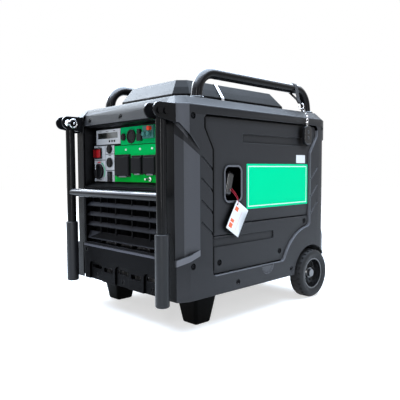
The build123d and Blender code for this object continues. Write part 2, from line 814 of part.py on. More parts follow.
def carry_hoop():
    feet = DECK_Z + HOOP_COLLAR_T / 2
    path = FilletPolyline((HOOP_X, HOOP_FRONT, feet), (HOOP_X, HOOP_FRONT + HOOP_LEAN, HOOP_Z),
                          (HOOP_X, HOOP_REAR - HOOP_LEAN, HOOP_Z), (HOOP_X, HOOP_REAR, feet), radius=HOOP_BEND)
    start = Plane(origin=path @ 0, z_dir=path % 0)
    hoop = sweep(start * Circle(HOOP_D / 2), path=path)
    for y in (HOOP_FRONT, HOOP_REAR):
        collar = rod_z(HOOP_X, y, HOOP_COLLAR_R, DECK_Z, DECK_Z + HOOP_COLLAR_T)
        hoop += chamfer(collar.edges().group_by(Axis.Z)[-1], HOOP_COLLAR_EDGE)
    return hoop & block((0, BODY_W), (0, BODY_L), (DECK_Z, HOOP_Z + HOOP_D))


def control_panel():
    """Sunk tray that carries the switches and sockets."""
    deep = RECESS_DEPTH + PANEL_WALL

    def tray(y0, y1, inset):
        mouth = BAR_X - inset
        back = mouth - RECESS_TAPER
        near = rectangle(-mouth, mouth, SILL_Z + inset, BAR_Z - inset)
        far = rectangle(-back, back, SILL_Z + RECESS_TAPER + inset, BAR_Z - RECESS_TAPER / 2 - inset)
        return loft([front_plane(y0) * near, front_plane(y1) * far], ruled=True)

    panel = tray(WALL, deep, 0) - tray(WALL - NICK, RECESS_DEPTH, PANEL_WALL)
    panel -= block((-BAR_X, BAR_X), (0, RECESS_DEPTH + FIT), (BAR_Z - FIT, BAR_Z + WALL))
    for cut in control_holes():
        panel -= cut
    return panel


def control_holes():
    """Holes behind the moving controls, through the plates and the tray."""
    depth = (PLATE_Y - OVER, RECESS_DEPTH + PANEL_WALL + OVER)
    holes = [rod_y(*START_AT, START_R + FIT, *depth), rod_y(*ECO_AT, ECO_R + FIT, *depth),
             rod_y(*BREAKER_AT, BREAKER_R + FIT, *depth), rod_y(*DIAL_AT, DIAL_HOLE_R, *depth)]
    for (x, z), (w, h) in ((ROCKER_AT, ROCKER_SIZE), (LOW_SWITCH_AT, LOW_SWITCH_SIZE)):
        half_w = w / 2 + ROCKER_GAP
        half_h = h / 2 + ROCKER_GAP
        holes.append(block((x - half_w, x + half_w), depth, (z - half_h, z + half_h)))
    return holes


def switch_plate():
    """Silver plates: the display field, and five cells round the switches."""
    plate = along_y(rectangle(*DISPLAY), PLATE_Y, RECESS_DEPTH)
    for cell in SWITCH_CELLS:
        plate += along_y(rectangle(*cell), PLATE_Y, RECESS_DEPTH)
    plate -= along_y(rectangle(*LCD), PLATE_Y - OVER, RECESS_DEPTH + OVER)
    for cut in control_holes():
        plate -= cut
    return plate


def outlet_plate():
    """Green plates: a strip of small sockets above the main outlets."""
    edge = BAR_X - RECESS_TAPER - PANEL_WALL - OUTLET_EDGE
    (upper_x, *upper_z), (lower_x, *lower_z) = OUTLET_FIELDS
    plate = along_y(rectangle(upper_x, edge, *upper_z), PLATE_Y, RECESS_DEPTH)
    plate += along_y(rectangle(lower_x, edge, *lower_z), PLATE_Y, RECESS_DEPTH)
    for cut in control_holes():
        plate -= cut
    return plate


def panel_lenses():
    """Display window and the three indicator lamps."""
    x0, x1, z0, z1 = LCD
    window = rectangle(x0 + CLOSE_FIT, x1 - CLOSE_FIT, z0 + CLOSE_FIT, z1 - CLOSE_FIT)
    lenses = along_y(window, PLATE_Y - LENS_RISE, RECESS_DEPTH)
    for x, z in LAMPS:
        lenses += rod_y(x, z, LAMP_R, PLATE_Y - LAMP_RISE, PLATE_Y)
    return lenses


def round_bezel(at, radius):
    hole = rod_y(*at, radius + FIT, PLATE_Y - BEZEL_T - OVER, PLATE_Y + OVER)
    return rod_y(*at, radius + FIT + BEZEL_W, PLATE_Y - BEZEL_T, PLATE_Y) - hole


def rocker_pin(at, size, tip_axis, radius, play):
    """Pivot pin across a rocker, along the axis that it tips about."""
    x, z = at
    across = size[1] if tip_axis == "z" else size[0]
    reach = across / 2 + ROCKER_GAP + ROCKER_PIN_L + play
    if tip_axis == "z":
        return rod_z(x, ROCKER_PIVOT_Y, radius, z - reach, z + reach)
    return rod_x(ROCKER_PIVOT_Y, z, radius, x - reach, x + reach)


def switch_frame(at, size, tip_axis):
    x, z = at
    half_w = size[0] / 2 + ROCKER_GAP
    half_h = size[1] / 2 + ROCKER_GAP
    wide = half_w + BEZEL_W
    tall = half_h + BEZEL_W
    ring = rectangle(x - wide, x + wide, z - tall, z + tall)
    ring -= rectangle(x - half_w, x + half_w, z - half_h, z + half_h)
    frame = along_y(ring, PLATE_Y - BEZEL_T, PLATE_Y)
    return frame - rocker_pin(at, size, tip_axis, ROCKER_PIN_R + CLOSE_FIT, FIT)


def switch_bezels():
    bezels = round_bezel(START_AT, START_R) + round_bezel(ECO_AT, ECO_R) + round_bezel(BREAKER_AT, BREAKER_R)
    bezels += switch_frame(ROCKER_AT, ROCKER_SIZE, "z") + switch_frame(LOW_SWITCH_AT, LOW_SWITCH_SIZE, "x")
    return bezels


def push_button(at, radius):
    button = rod_y(*at, radius, PLATE_Y - BUTTON_RISE, RECESS_DEPTH + BUTTON_SINK)
    return fillet(button.edges().group_by(Axis.Y)[0], BUTTON_EDGE)


def rocker(at, size, tip_axis):
    """Rocker cap, dished in the middle where it pivots, with a pin at each end."""
    x, z = at
    half_w = size[0] / 2
    half_h = size[1] / 2
    rise = PLATE_Y - BUTTON_RISE
    dip = rise + ROCKER_DIP
    back = RECESS_DEPTH
    pin = rocker_pin(at, size, tip_axis, ROCKER_PIN_R, 0)
    if tip_axis == "z":
        face = polygon((x - half_w, rise), (x, dip), (x + half_w, rise), (x + half_w, back),
                       (x - half_w, back))
        return along_z(face, z - half_h, z + half_h) + pin
    face = polygon((rise, z - half_h), (back, z - half_h), (back, z + half_h), (rise, z + half_h), (dip, z))
    return along_x(face, x - half_w, x + half_w) + pin


def engine_dial():
    x, z = DIAL_AT
    front = PLATE_Y - DIAL_T
    skirt = front + DIAL_BAR_RISE
    half = DIAL_R - DIAL_BAR_IN
    dial = rod_y(x, z, DIAL_R, skirt, PLATE_Y - FIT)
    dial = fillet(dial.edges().group_by(Axis.Y)[0], DIAL_EDGE)
    dial += block((x - DIAL_BAR_W / 2, x + DIAL_BAR_W / 2), (front, skirt + OVER), (z - half, z + half))
    dial += rod_y(x, z, DIAL_SHAFT_R, PLATE_Y - OVER, RECESS_DEPTH + PANEL_WALL + DIAL_SHAFT_OUT)
    return dial


def hinge_axis(z1):
    """Place of a flip cover's hinge in y and z, over the cover's top edge."""
    return PLATE_Y - COVER_BASE_T - HINGE_R - FIT, z1 + HINGE_R


def framed_outlet(x0, x1, z0, z1):
    """Socket face on its frame, with the two hinge ears and the pin of its flip cover."""
    axis_y, axis_z = hinge_axis(z1)
    middle_x = (x0 + x1) / 2
    middle_z = (z0 + z1) / 2
    front = PLATE_Y - COVER_BASE_T
    outlet = block((x0, x1), (front, PLATE_Y), (z0 - SOCKET_FOOT, axis_z + HINGE_R))
    face_r = min(x1 - x0, z1 - z0) / 2 - SOCKET_MARGIN
    outlet += rod_y(middle_x, middle_z, face_r, front - SOCKET_RISE, front + OVER)
    for x in (middle_x - SLIT_X, middle_x + SLIT_X):
        outlet -= block((x - SLIT_W / 2, x + SLIT_W / 2), (0, front - SLIT_FLOOR),
                        (middle_z - SLIT_H / 2, middle_z + SLIT_H / 2))
    outlet += rod_x(axis_y, axis_z, HINGE_PIN_R, x0 + HINGE_PIN_IN, x1 - HINGE_PIN_IN)
    nose = HINGE_R - FIT
    for ear_x in (x0, x1 - HINGE_EAR):
        outlet += rod_x(axis_y, axis_z, nose, ear_x, ear_x + HINGE_EAR)
        outlet += block((ear_x, ear_x + HINGE_EAR), (axis_y, PLATE_Y), (axis_z, axis_z + nose))
    return outlet


def outlet_sockets():
    """Fixed sockets: a twist socket, a DC pair, a terminal block and the three framed outlets."""
    x, z = TWIST_AT
    sockets = rod_y(x, z, TWIST_R, PLATE_Y - TWIST_RISE, PLATE_Y)
    sockets -= rod_y(x, z, TWIST_R - TWIST_RIM, PLATE_Y - TWIST_RISE - OVER, PLATE_Y - TWIST_FLOOR)
    sockets += rod_y(x, z, TWIST_CORE_R, PLATE_Y - TWIST_CORE_RISE, PLATE_Y - OVER)
    x, z = PAIR_AT
    low, high = PAIR_Z
    sockets += rod_y(x, z + PAIR_JACK_UP, PAIR_JACK_R, PLATE_Y - PAIR_JACK_RISE, PLATE_Y)
    sockets += block((x - PAIR_W / 2, x + PAIR_W / 2), (PLATE_Y - PAIR_RISE, PLATE_Y), (z + low, z + high))
    x, z = TERMINAL_AT
    left, right, low, high = TERMINAL_BOX
    sockets += block((x + left, x + right), (PLATE_Y - TERMINAL_RISE, PLATE_Y), (z + low, z + high))
    for dx, dz in TERMINAL_POSTS:
        sockets += rod_y(x + dx, z + dz, TERMINAL_POST_R, PLATE_Y - TERMINAL_POST_RISE, PLATE_Y)
    for name, *limits in COVERS:
        sockets += framed_outlet(*limits)
    return sockets


def outlet_cover(x0, x1, z0, z1):
    """Flip cover with its barrel on the socket's hinge pin and a finger lip below."""
    axis_y, axis_z = hinge_axis(z1)
    back = PLATE_Y - COVER_BASE_T - FIT
    front = back - COVER_DEPTH
    cover = block((x0, x1), (front, back), (z0, z1))
    cover = fillet(cover.edges().group_by(Axis.Y)[0], COVER_EDGE)
    cover -= block((x0 + COVER_WALL, x1 - COVER_WALL), (front + COVER_WALL, back + OVER),
                   (z0 + COVER_WALL, z1 - COVER_WALL))
    inner = (x0 + HINGE_EAR + FIT, x1 - HINGE_EAR - FIT)
    cover += rod_x(axis_y, axis_z, HINGE_R - FIT, *inner)
    cover += block(inner, (axis_y - HINGE_R + FIT, axis_y), (z1 - COVER_WALL, axis_z))
    cover -= rod_x(axis_y, axis_z, HINGE_PIN_R + CLOSE_FIT, x0 - OVER, x1 + OVER)
    lip_x = (x1 - x0) / 4
    lip_back = back - COVER_LIP_BACK
    cover += block((x0 + lip_x, x1 - lip_x), (lip_back - COVER_LIP_T, lip_back),
                   (z0 - COVER_LIP_DROP, z0 + OVER))
    return cover


def earth_terminal():
    """Stud with a hexagon nut, for the earth lead."""
    x, z = EARTH_AT
    stud = rod_y(x, z, EARTH_R, PLATE_Y - EARTH_L, PLATE_Y)
    stud += along_y(Pos(x, z) * RegularPolygon(EARTH_NUT_R, 6), PLATE_Y - EARTH_NUT_T, PLATE_Y)
    return stud


def front_grille():
    """Louvred air intake under the sill, with upright ribs behind the slats."""
    low = SKIRT_Z + FIT
    high = SILL_Z - FIT
    inside = SPLIT_FIT - GRILLE_SIDE
    frame = rectangle(-SPLIT_FIT, SPLIT_FIT, low, high)
    frame -= rectangle(-inside, inside, low + GRILLE_FOOT, high - GRILLE_HEAD)
    grille = along_y(frame, 0, GRILLE_DEPTH)
    slat_x = inside + SLAT_BITE
    back = SLAT_SINK + SLAT_RUN
    for i in range(SLAT_COUNT):
        top = SLAT_TOP - i * SLAT_PITCH
        foot = top - (SLAT_LAST_H if i == SLAT_COUNT - 1 else SLAT_H)
        section = polygon((SLAT_SINK, foot), (SLAT_SINK + SLAT_T, foot), (back + SLAT_T, top - SLAT_T),
                          (back, top))
        grille += along_x(section, -slat_x, slat_x)
    for x in RIB_XS:
        grille += block((x - RIB_T / 2, x + RIB_T / 2), (GRILLE_DEPTH - RIB_DEPTH, GRILLE_DEPTH),
                        (low + RIB_BITE, high - RIB_BITE))
    return grille


def front_skirt():
    """Lower front with three arched screw pockets and a row of vents."""
    half = SKIRT_W / 2
    foot = half - SKIRT_NARROW
    through = (-OVER, SKIRT_T + OVER)
    skirt = along_y(polygon((-foot, BASE_Z), (foot, BASE_Z), (half, SKIRT_Z), (-half, SKIRT_Z)), 0, SKIRT_T)
    skirt += block((-half, half), (0, TRAY_FRONT - FIT), (SKIRT_Z - WALL, SKIRT_Z))
    arch_half = ARCH_W / 2
    vent_half = arch_half - VENT_MARGIN
    for x in (-ARCH_X, 0, ARCH_X):
        arch = soft_rectangle(x - arch_half, x + arch_half, BASE_Z - 2 * ARCH_TOP_R, ARCH_Z, ARCH_TOP_R)
        skirt -= along_y(arch, -OVER, ARCH_DEPTH)
        vent = soft_rectangle(x - vent_half, x + vent_half, VENT_Z, VENT_Z + VENT_H, VENT_R)
        skirt -= along_y(vent, *through)
        skirt -= rod_y(x, SKIRT_SCREW_Z, FRONT_POCKET_R, -OVER, SKIRT_SCREW_D)
    for x in (-ARCH_X / 2, ARCH_X / 2):
        vent = soft_rectangle(x - VENT_W / 2, x + VENT_W / 2, VENT_Z - VENT_DROP, VENT_Z + VENT_H - VENT_TRIM,
                              VENT_R)
        skirt -= along_y(vent, *through)
    corner_x = half - SKIRT_CORNER_SCREW
    for x in (-corner_x, corner_x):
        skirt -= rod_y(x, SKIRT_Z - SKIRT_CORNER_SCREW, CORNER_POCKET_R, -OVER, SCREW_POCKET_D)
    return skirt


def rear_cover():
    """Rear wall with hot-air louvres and the tailpipe opening."""
    top = SHOULDER_Z - FIT
    through = (BODY_L - WALL - OVER, BODY_L + OVER)
    half = REAR_VENT_W / 2
    wall = along_y(rectangle(-SPLIT_FIT, SPLIT_FIT, BASE_Z, top), BODY_L - WALL, BODY_L)
    wall += block((-SPLIT_FIT, SPLIT_FIT), (BODY_L - REAR_LIP, BODY_L), (top - WALL, top))
    for row in range(REAR_VENT_ROWS):
        z = REAR_VENT_Z + row * REAR_VENT_PITCH
        for x in (-REAR_VENT_STEP, 0, REAR_VENT_STEP):
            wall -= along_y(soft_rectangle(x - half, x + half, z, z + REAR_VENT_H, REAR_VENT_R), *through)
    for row in range(LOW_VENT_ROWS):
        z = LOW_VENT_Z + row * REAR_VENT_PITCH
        wall -= along_y(soft_rectangle(*LOW_VENT_X, z, z + REAR_VENT_H, REAR_VENT_R), *through)
    return wall - rod_y(TAIL_X, MUFFLER_Z, TAIL_R + TAIL_GAP, *through)


def bracket_cheek(x0, x1):
    """Side plate of a handle bracket, round at its nose."""
    low, high = CHEEK_ROOT
    nose_z = HANDLE_PIVOT_Z + CHEEK_RISE
    side = polygon((0, low), (0, high), (-CHEEK_NOSE_OUT, nose_z + CHEEK_NOSE_R),
                   (-CHEEK_NOSE_OUT, nose_z - CHEEK_NOSE_R))
    side += Pos(-CHEEK_NOSE_OUT, nose_z) * Circle(CHEEK_NOSE_R)
    side -= Pos(-HANDLE_OUT, HANDLE_PIVOT_Z) * Circle(PIVOT_R + CLOSE_FIT)
    return along_x(side, x0, x1)


def cheek_inner():
    return HANDLE_TUBE_R + CHEEK_GAP


def handle_bracket():
    near = cheek_inner()
    far = near + CHEEK_T
    bracket = bracket_cheek(HANDLE_X + near, HANDLE_X + far)
    bracket += bracket_cheek(HANDLE_X - far, HANDLE_X - near)
    bracket += block((HANDLE_X - far, HANDLE_X + far), (-BRACKET_T, 0), CHEEK_ROOT)
    return bracket


def handle_bolts():
    """Pivot bolts of both brackets, with round heads, and the cap heads in front of them."""
    left = HANDLE_X - cheek_inner() - CHEEK_T
    right = HANDLE_X + cheek_inner() + CHEEK_T
    bolts = rod_x(-HANDLE_OUT, HANDLE_PIVOT_Z, PIVOT_R, left - OVER, right + OVER)
    for x0, x1 in ((left - BOLT_HEAD_T, left), (right, right + BOLT_HEAD_T)):
        for y in (-HANDLE_OUT, -HANDLE_OUT - BOLT_STEP):
            bolts += rod_x(y, HANDLE_PIVOT_Z, BOLT_HEAD_R, x0, x1)
    return bolts + to_left(bolts)


def handle_frame():
    """Two hanging tubes with pivot eyes, joined by the crossbar."""
    bore = HANDLE_TUBE_R - HANDLE_TUBE_T
    low = GRIP_BOTTOM + GRIP_FLOOR
    eye_half = cheek_inner() - FIT
    leg = rod_z(HANDLE_X, -HANDLE_OUT, HANDLE_TUBE_R, low, HANDLE_PIVOT_Z - PIVOT_R - OVER)
    leg += rod_x(-HANDLE_OUT, HANDLE_PIVOT_Z, EYE_R, HANDLE_X - eye_half, HANDLE_X + eye_half)
    leg -= rod_z(HANDLE_X, -HANDLE_OUT, bore, low - OVER, HANDLE_PIVOT_Z - EYE_R - HANDLE_PLUG)
    leg -= rod_x(-HANDLE_OUT, HANDLE_PIVOT_Z, PIVOT_R + CLOSE_FIT, HANDLE_X - 2 * EYE_R, HANDLE_X + 2 * EYE_R)
    bar = rod_x(-HANDLE_OUT, CROSSBAR_Z, CROSSBAR_R, -HANDLE_X, HANDLE_X)
    bar -= rod_x(-HANDLE_OUT, CROSSBAR_Z, CROSSBAR_R - HANDLE_TUBE_T, -HANDLE_X, HANDLE_X)
    for x in (-HANDLE_X, HANDLE_X):
        bar -= rod_z(x, -HANDLE_OUT, bore + OVER, CROSSBAR_Z - 2 * CROSSBAR_R, CROSSBAR_Z + 2 * CROSSBAR_R)
    return leg + to_left(leg) + bar


def handle_grips():
    grip = rod_z(HANDLE_X, -HANDLE_OUT, GRIP_R, GRIP_BOTTOM, GRIP_TOP)
    grip = fillet(grip.edges().group_by(Axis.Z)[0], GRIP_FOOT_R)
    grip = chamfer(grip.edges().group_by(Axis.Z)[-1], GRIP_EDGE)
    grip -= rod_z(HANDLE_X, -HANDLE_OUT, HANDLE_TUBE_R + CLOSE_FIT, GRIP_BOTTOM + GRIP_FLOOR, GRIP_TOP + OVER)
    return grip + to_left(grip)


def tyre():
    inner = WHEEL_OUT - WHEEL_W
    outer = WHEEL_OUT
    seat = RIM_R + CLOSE_FIT
    wall = WHEEL_R - TYRE_WALL
    shoulder = WHEEL_R - TYRE_SHOULDER
    profile = polygon((seat, inner + TYRE_BEAD), (wall, inner), (shoulder, inner + TYRE_EDGE),
                      (WHEEL_R, inner + TYRE_CROWN), (WHEEL_R, outer - TYRE_CROWN),
                      (shoulder, outer - TYRE_EDGE), (wall, outer), (seat, outer - TYRE_BEAD))
    ring = spun(profile, WHEEL_Y, WHEEL_Z)
    lug_l = WHEEL_W / 3
    for i in range(LUG_COUNT):
        turn = i * 360 / LUG_COUNT
        for x, shift in ((inner + lug_l / 2 - OVER, 0), (outer - lug_l / 2 + OVER, 180 / LUG_COUNT)):
            gap = Pos(x, 0, WHEEL_R) * Box(lug_l, LUG_W, 2 * LUG_D)
            ring -= Pos(0, WHEEL_Y, WHEEL_Z) * Rot(turn + shift, 0, 0) * gap
    return ring


def wheel_rim():
    """Dished rim with a hub, a web and five round openings."""
    inner = WHEEL_OUT - WHEEL_W + TYRE_BEAD
    outer = WHEEL_OUT - TYRE_BEAD
    bore = AXLE_R + AXLE_FIT
    face = outer - HUB_SINK
    band = RIM_R - RIM_T
    profile = polygon((bore, inner), (HUB_R, inner), (HUB_R, inner + WEB_ROOT), (band, inner + WEB_EDGE),
                      (band, inner), (RIM_R, inner), (RIM_R, outer), (RIM_R - RIM_LIP, outer),
                      (RIM_R - RIM_DISH, inner + WEB_EDGE + WEB_T),
                      (HUB_R + HUB_FLARE, inner + WEB_ROOT + WEB_T),
                      (HUB_R, face), (bore, face))
    rim = spun(profile, WHEEL_Y, WHEEL_Z)
    hole = rod_x(0, (HUB_R + RIM_R - RIM_DISH) / 2, RIM_HOLE_R, inner - OVER, outer)
    for i in range(RIM_HOLES):
        rim -= Pos(0, WHEEL_Y, WHEEL_Z) * Rot(i * 360 / RIM_HOLES, 0, 0) * hole
    return rim


def wheel_axle():
    """Axle rod with a collar inside each wheel and a cap nut outside it."""
    inner = WHEEL_OUT - WHEEL_W + TYRE_BEAD - FIT
    outer = WHEEL_OUT - TYRE_BEAD - HUB_SINK + FIT
    end = outer + AXLE_NUT_T
    axle = rod_x(WHEEL_Y, WHEEL_Z, AXLE_R, -end, end)
    for x0, x1 in ((inner - AXLE_NUT_T, inner), (outer, end)):
        axle += rod_x(WHEEL_Y, WHEEL_Z, AXLE_NUT_R, x0, x1)
        axle += rod_x(WHEEL_Y, WHEEL_Z, AXLE_NUT_R, -x1, -x0)
    return axle


def tray_plan(inset):
    """The tray is wide behind the pillars, and narrow at the front and between the wheels."""
    half = HALF_W - WALL - FIT - inset
    waist = TRAY_WAIST - inset
    step = TRAY_FRONT + PILLAR_Y + inset
    wheel = WHEEL_Y - ARCH_R - WALL - TRAY_STEP - inset
    return plan([(waist, TRAY_FRONT + inset), (waist, step), (half, step), (half, wheel), (waist, wheel),
                 (waist, TRAY_REAR - inset)])


def base_tray():
    """Pressed tray with two brackets that carry the axle."""
    tray = along_z(tray_plan(0), BASE_Z, BASE_Z + TRAY_H)
    tray -= along_z(tray_plan(TRAY_T), TRAY_FLOOR, BASE_Z + TRAY_H + OVER)
    top = WHEEL_Z - AXLE_EAR_DROP
    ear = polygon((WHEEL_Y - AXLE_EAR_FOOT, BASE_Z), (WHEEL_Y + AXLE_EAR_FOOT, BASE_Z),
                  (WHEEL_Y + AXLE_EAR_NOSE, top), (WHEEL_Y - AXLE_EAR_NOSE, top))
    ear_x = TRAY_WAIST - AXLE_EAR_IN
    for x0, x1 in ((-ear_x, -ear_x + AXLE_EAR_T), (ear_x - AXLE_EAR_T, ear_x)):
        tray += along_x(ear, x0, x1)
    return tray - rod_x(WHEEL_Y, WHEEL_Z, AXLE_R + CLOSE_FIT, -TRAY_WAIST, TRAY_WAIST)


def front_feet():
    """Two tapered rubber feet."""
    base = Pos(FOOT_X, FOOT_Y, 0) * RectangleRounded(FOOT_BASE, FOOT_BASE, FOOT_CORNER)
    top = Pos(FOOT_X, FOOT_Y, BASE_Z) * RectangleRounded(FOOT_TOP, FOOT_TOP, FOOT_CORNER)
    foot = loft([base, top], ruled=True)
    foot = fillet(foot.edges().group_by(Axis.Z)[0], FOOT_EDGE)
    return foot + to_left(foot)


def recoil_housing():
    """Starter cup on the front of the engine, with the rope's way out on the right."""
    front = PULLEY_Y - PULLEY_T / 2 - HOUSING_FRONT
    floor = front + HOUSING_T
    cup = rod_y(0, CRANK_Z, HOUSING_R, front, CASE_Y)
    cup -= rod_y(0, CRANK_Z, HOUSING_R - HOUSING_T, floor, CASE_Y + OVER)
    hole = rod_y(0, HOUSING_HOLE_AT, HOUSING_HOLE_R, front - OVER, floor + OVER)
    for i in range(HOUSING_HOLES):
        cup -= Pos(0, 0, CRANK_Z) * Rot(0, (i + 0.5) * 360 / HOUSING_HOLES, 0) * hole
    cup += rod_y(0, CRANK_Z, PULLEY_POST_R, front, PULLEY_Y + PULLEY_T / 2)
    return cup - rod_x(PULLEY_Y, WINDOW_Z, ROPE_D / 2 + ROPE_PLAY, 0, HOUSING_R + OVER)


def recoil_pulley():
    """Grooved rope pulley that turns on the housing's post."""
    half = PULLEY_T / 2
    groove = half - PULLEY_FLANGE
    pulley = rod_y(0, CRANK_Z, PULLEY_R, PULLEY_Y - half, PULLEY_Y + half)
    ring = rod_y(0, CRANK_Z, PULLEY_R + OVER, PULLEY_Y - groove, PULLEY_Y + groove)
    ring -= rod_y(0, CRANK_Z, ROPE_R - ROPE_D / 2 - FIT, PULLEY_Y - half, PULLEY_Y + half)
    pulley -= ring
    return pulley - rod_y(0, CRANK_Z, PULLEY_POST_R + AXLE_FIT, PULLEY_Y - PULLEY_T, PULLEY_Y + PULLEY_T)


def recoil_rope():
    """Rope from the pulley to the starter grip, as it lies with the grip at home."""
    return rod_x(PULLEY_Y, WINDOW_Z, ROPE_D / 2, 0, POCKET_X + ROPE_SEAT)


def recoil_handle():
    """Rounded pull grip, leaning a little, with a short neck for the rope."""
    near = POCKET_X + STARTER_STAND
    root = POCKET_X + FIT
    neck_l = near + STARTER_BITE - root
    grip = fillet(Box(STARTER_D, STARTER_W, STARTER_L).edges(), STARTER_R)
    grip = Pos(near + STARTER_D / 2, WINDOW_Y, WINDOW_Z) * Rot(-STARTER_LEAN, 0, 0) * grip
    neck = Cone(STARTER_ROOT_R, STARTER_NECK_R, neck_l)
    grip += Pos(root + neck_l / 2, WINDOW_Y, WINDOW_Z) * Rot(0, 90, 0) * neck
    return grip - rod_x(WINDOW_Y, WINDOW_Z, ROPE_D / 2 + CLOSE_FIT, POCKET_X, POCKET_X + ROPE_SEAT)


def crank_rotor():
    """Crankshaft with the cooling fan and the magnet drum."""
    shaft = rod_y(0, CRANK_Z, SHAFT_R, FAN_Y - SHAFT_NOSE, CASE_Y + CASE_L + SHAFT_TAIL)
    shaft += rod_y(0, CRANK_Z, FAN_R, FAN_Y, FAN_Y + FAN_PLATE_T)
    blade = block((BLADE_ROOT, FAN_R - BLADE_TRIM), (FAN_Y + FAN_PLATE_T - OVER, FAN_Y + FAN_T),
                  (-BLADE_T / 2, BLADE_T / 2))
    for i in range(FAN_BLADES):
        shaft += Pos(0, 0, CRANK_Z) * Rot(0, i * 360 / FAN_BLADES, 0) * blade
    shaft += rod_y(0, CRANK_Z, FAN_HUB_R, FAN_Y, ROTOR_Y + OVER)
    return shaft + rod_y(0, CRANK_Z, ROTOR_R, ROTOR_Y, ROTOR_Y + ROTOR_L)


def alternator_stator():
    """Wound ring round the magnet drum, bolted to the crankcase."""
    inner = ROTOR_R + STATOR_GAP
    depth, width = STATOR_SLOT
    ring = rod_y(0, CRANK_Z, STATOR_R, ROTOR_Y + STATOR_BACK, CASE_Y)
    ring -= rod_y(0, CRANK_Z, inner, ROTOR_Y, CASE_Y + OVER)
    slot = block((inner - OVER, inner + depth), (ROTOR_Y, CASE_Y - STATOR_YOKE), (-width / 2, width / 2))
    for i in range(STATOR_TEETH):
        ring -= Pos(0, 0, CRANK_Z) * Rot(0, i * 360 / STATOR_TEETH, 0) * slot
    return ring


def engine_crankcase():
    half = CASE_W / 2
    rear = CASE_Y + CASE_L
    case = block((-half, half), (CASE_Y, rear), (CASE_BOTTOM, CASE_BOTTOM + CASE_H))
    case = fillet(case.edges().filter_by(Axis.Y), CASE_R)
    case += rod_y(0, CRANK_Z, CASE_BOSS_R, rear - OVER, rear + CASE_BOSS_T)
    foot_x = half - CASE_FOOT_IN
    for x0, x1 in ((-foot_x, -foot_x + CASE_FOOT_W), (foot_x - CASE_FOOT_W, foot_x)):
        case += block((x0, x1), (CASE_Y, rear), (TRAY_FLOOR + MOUNT_H, CASE_BOTTOM + CASE_FOOT_H))
    return case - rod_y(0, CRANK_Z, SHAFT_R + AXLE_FIT, CASE_Y - OVER, rear + CASE_BOSS_T + OVER)


def engine_mounts():
    """Four rubber blocks between the tray and the engine's feet."""
    half = CASE_W / 2 - MOUNT_IN
    mounts = []
    for y in (CASE_Y + MOUNT_IN, CASE_Y + CASE_L - MOUNT_IN):
        for x in (-half, half):
            mounts.append(rod_z(x, y, MOUNT_R, TRAY_FLOOR, TRAY_FLOOR + MOUNT_H))
    first, *others = mounts
    for mount in others:
        first += mount
    return first


def engine_cylinder():
    """Finned cylinder that leans to the left, with its head."""
    width = 2 * (CYL_R + FIN_OUT)
    head_w = width - HEAD_TRIM
    barrel = Pos(0, 0, CYL_L / 2) * Cylinder(CYL_R, CYL_L)
    for i in range(FIN_COUNT):
        barrel += Pos(0, 0, FIN_START + i * FIN_PITCH) * extrude(RectangleRounded(width, width, FIN_R), FIN_T)
    barrel += Pos(0, 0, CYL_L) * extrude(RectangleRounded(head_w, head_w, HEAD_R), HEAD_T)
    root = CASE_W / 2 / cos(radians(CYL_SLANT)) - CYL_SINK
    lean = Rot(0, CYL_SLANT - 90, 0) * Pos(0, 0, root)
    leaning = Pos(0, CASE_Y + CASE_L / 2, CRANK_Z + CYL_RISE) * lean * barrel
    return leaning - block((-CASE_W / 2, CASE_W), (0, BODY_L), (0, SHOULDER_Z))


def air_cleaner():
    """Filter box with the carburettor under it, on the crankcase."""
    top = CASE_BOTTOM + CASE_H
    y0 = CASE_Y + FILTER_IN
    carb_y0, carb_y1 = CARB_Y
    box = block(FILTER_X, (y0, y0 + FILTER_L), (top + CARB_H - OVER, top + CARB_H - OVER + FILTER_H))
    box = fillet(box.edges().filter_by(Axis.Z), FILTER_R)
    return box + block((-CARB_W / 2, CARB_W / 2), (y0 + carb_y0, y0 + carb_y1), (top, top + CARB_H))


def muffler():
    """Oval silencer behind the engine, with its tailpipe through the rear wall."""
    y0 = CASE_Y + CASE_L + MUFFLER_GAP
    y1 = BODY_L - WALL - MUFFLER_REAR_GAP
    z = MUFFLER_Z
    left, right, reach = MUFFLER_BRACKET
    shell = along_y(Pos(0, z) * SlotOverall(MUFFLER_W, MUFFLER_H), y0, y1)
    shell = fillet(shell.edges().group_by(Axis.Y)[0] + shell.edges().group_by(Axis.Y)[-1], MUFFLER_EDGE)
    pipe = rod_y(TAIL_X, z, TAIL_R, y1 - OVER, BODY_L + TAIL_OUT)
    pipe -= rod_y(TAIL_X, z, TAIL_R - TAIL_T, y1 + WALL, BODY_L + TAIL_OUT + OVER)
    return shell + pipe + block((left, right), (CASE_Y + CASE_L, y0 + reach), (z - reach, z + reach))


def inverter_module():
    """Cast power module with upright cooling fins, on the tray behind the intake."""
    x0, x1 = POWER_X
    rise = (TRAY_FLOOR, TRAY_FLOOR + POWER_H)
    module = block(POWER_X, (POWER_Y, POWER_Y + POWER_L), rise)
    pitch = (x1 - x0) / POWER_FINS
    for i in range(POWER_FINS):
        x = x0 + (i + 0.5) * pitch
        fin_x = (x - POWER_FIN_T / 2, x + POWER_FIN_T / 2)
        module += block(fin_x, (POWER_Y - POWER_FIN_OUT, POWER_Y + OVER), rise)
    return module


def battery():
    x0, y0 = BATTERY_AT
    wide, long, high = BATTERY
    top = TRAY_FLOOR + high
    case = block((x0, x0 + wide), (y0, y0 + long), (TRAY_FLOOR, top))
    case = fillet(case.edges().filter_by(Axis.Z), BATTERY_R)
    for y in (y0 + BATTERY_POST_IN, y0 + long - BATTERY_POST_IN):
        case += rod_z(x0 + wide / 2, y, BATTERY_POST_R, top - OVER, top + BATTERY_POST_H)
    return case


